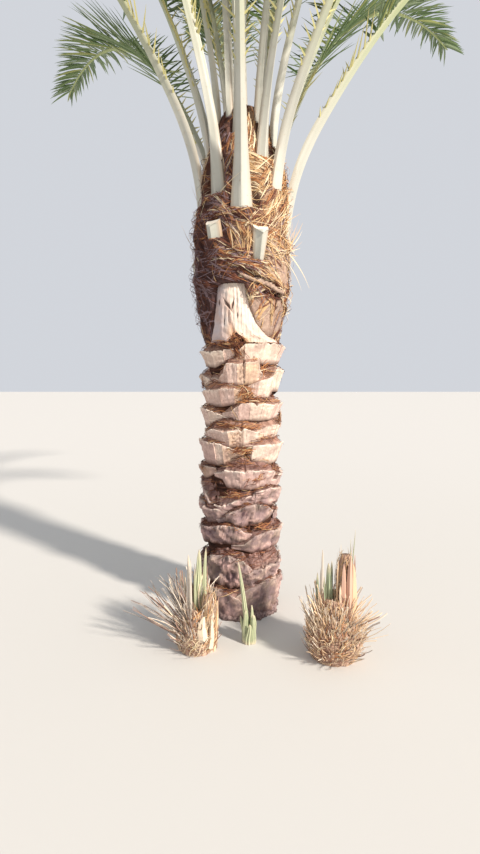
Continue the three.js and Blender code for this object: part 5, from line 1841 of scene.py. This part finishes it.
SHEATH_FINISH = sheath_finish()
DRY_FINISHES = {tone: plain_finish(f"dry_{tone}", colour, (0.75, 0.2), (900.0, 40.0), (0.6, 0.9), 0.001)
                for tone, colour in DRY_TONES.items()}
SPEAR_FINISHES = {tone: spear_finish(tone, *pair) for tone, pair in SPEAR_TONES.items()}
for seed, shoot in enumerate(OFFSHOOTS, 71):
    name, foot = shoot["name"], np.array(shoot["foot"])
    stub = [f"{name}_stub"]
    if "leaf_bases" in shoot:
        shape = green_leaf_bases(foot, shoot["leaf_bases"], seed)
        add_piece(f"{name}_leaf_bases", shape, SPEAR_FINISHES["fresh"], stub, crease=30)
    if "stem" in shoot:
        heights, radii = zip(*shoot["stem"])
        place = column_place(foot, (0, 0), heights[-1])
        shape = column_shape(place, heights, radii, seed)
        add_piece(f"{name}_core", shape, SHEATH_FINISH, stub)
        fibres = column_fibres(place, heights, radii, 420, seed, 65, curl=1.6)
        fibres.finish(f"{name}_fibres", "fibre", stub)
        chance = np.random.default_rng(seed + 10)
        shreds = {**shoot, "stalks": shoot["shreds"], "fan": (0, 360), "rooted": 0.92, "lowest": 0.006,
                  "lengths": SHRED_LENGTHS, "widths": SHRED_WIDTHS, "shortened_front": 0}
        points, grain = map(np.concatenate, zip(dry_stalks(shoot, chance), dry_stalks(shreds, chance)))
        tones = drawn_tones(chance, len(points), **shoot["tones"])
        for tone in shoot["tones"]:
            shape = repeated(points[tones == tone], grain[tones == tone], closed=True)
            add_piece(f"{name}_stalks_{tone}", shape, DRY_FINISHES[tone], stub, crease=35)
    for number, (x, y, top, width, *lean, blades, tone) in enumerate(shoot["spears"], 1):
        shape = spear_shape([*(foot + [x, y]), 0], top, width, lean, blades, seed + number)
        spear = [f"{name}_spear_{number}"]
        add_piece(f"{name}_leaf_{number}", shape, SPEAR_FINISHES[tone], spear, crease=30)
    if "sheath" in shoot:
        sheath_x, sheath_y, top, radius, *lean = shoot["sheath"]
        place = column_place(foot + [sheath_x, sheath_y], lean, top)
        heights = [share * top for share in (0, 0.4, 0.8, 1)]
        radii = [share * radius for share in (0.92, 0.92, 0.76, 0.42)]
        sheath = [f"{name}_sheath"]
        shape = column_shape(place, heights, radii, seed + 5)
        add_piece(f"{name}_column", shape, SHEATH_FINISH, sheath)
        fibres = column_fibres(place, heights, radii, 340, seed + 5, 75)
        fibres.finish(f"{name}_column_fibres", "fibre", sheath)
        for number, (x, y, low, top, width, *lean, tone) in enumerate(shoot["flaps"]):
            turn = math.atan2(x - sheath_x, sheath_y - y)
            shape = pleated_blade([*(foot + [x, y]), low], top, lean, width, turn, seed + number, pleats=1)
            finish = {**DRY_FINISHES, **SPEAR_FINISHES}[tone]
            add_piece(f"{name}_flap_{number}", shape, finish, sheath, crease=30)


# A pale studio floor, a soft sun from the right of the camera and an even sky light, and the camera where the
# photograph was taken from: held at eye height, three metres off, tipped down a little.

FLOOR_SIZE = 400
FLOOR_TONE = (0.62, 0.6, 0.57, 1)
SKY_TONE = (0.86, 0.89, 0.95, 1)
SKY_STRENGTH = 0.75
SUN_TONE = (1, 0.93, 0.84)
SUN_STRENGTH = 5.4
SUN_WIDTH = 5
SUN_TILT, SUN_TURN = 60, 50
CAMERA_PLACE = (0, -3.05, 1.38)
CAMERA_TIP = 4.5
FRAME_HEIGHT_PIXELS = 854
FOCAL_PIXELS = 490
SENSOR = 36


def studio():
    scene = bpy.context.scene
    bpy.ops.mesh.primitive_plane_add(size=FLOOR_SIZE, location=(0, 0, -0.001))
    floor = bpy.context.object
    floor.name = "floor"
    material, tree = new_finish("floor", 0.9, 0.1)
    tree.nodes["Principled BSDF"].inputs["Base Color"].default_value = FLOOR_TONE
    floor.data.materials.append(material)
    world = bpy.data.worlds.new("studio")
    world.use_nodes = True
    world.node_tree.nodes["Background"].inputs["Color"].default_value = SKY_TONE
    world.node_tree.nodes["Background"].inputs["Strength"].default_value = SKY_STRENGTH
    scene.world = world
    sun = bpy.data.objects.new("key_light", bpy.data.lights.new("key_light", "SUN"))
    sun.data.energy = SUN_STRENGTH
    sun.data.angle = math.radians(SUN_WIDTH)
    sun.data.color = SUN_TONE
    sun.rotation_euler = (math.radians(SUN_TILT), 0, math.radians(SUN_TURN))
    scene.collection.objects.link(sun)
    camera = bpy.data.objects.new("camera", bpy.data.cameras.new("camera"))
    camera.location = CAMERA_PLACE
    camera.rotation_euler = (math.radians(90 - CAMERA_TIP), 0, 0)
    camera.data.sensor_width = SENSOR
    camera.data.lens = FOCAL_PIXELS / FRAME_HEIGHT_PIXELS * SENSOR
    camera.data.clip_end = 200
    scene.collection.objects.link(camera)
    scene.camera = camera
    scene.view_settings.view_transform = "Standard"


studio()
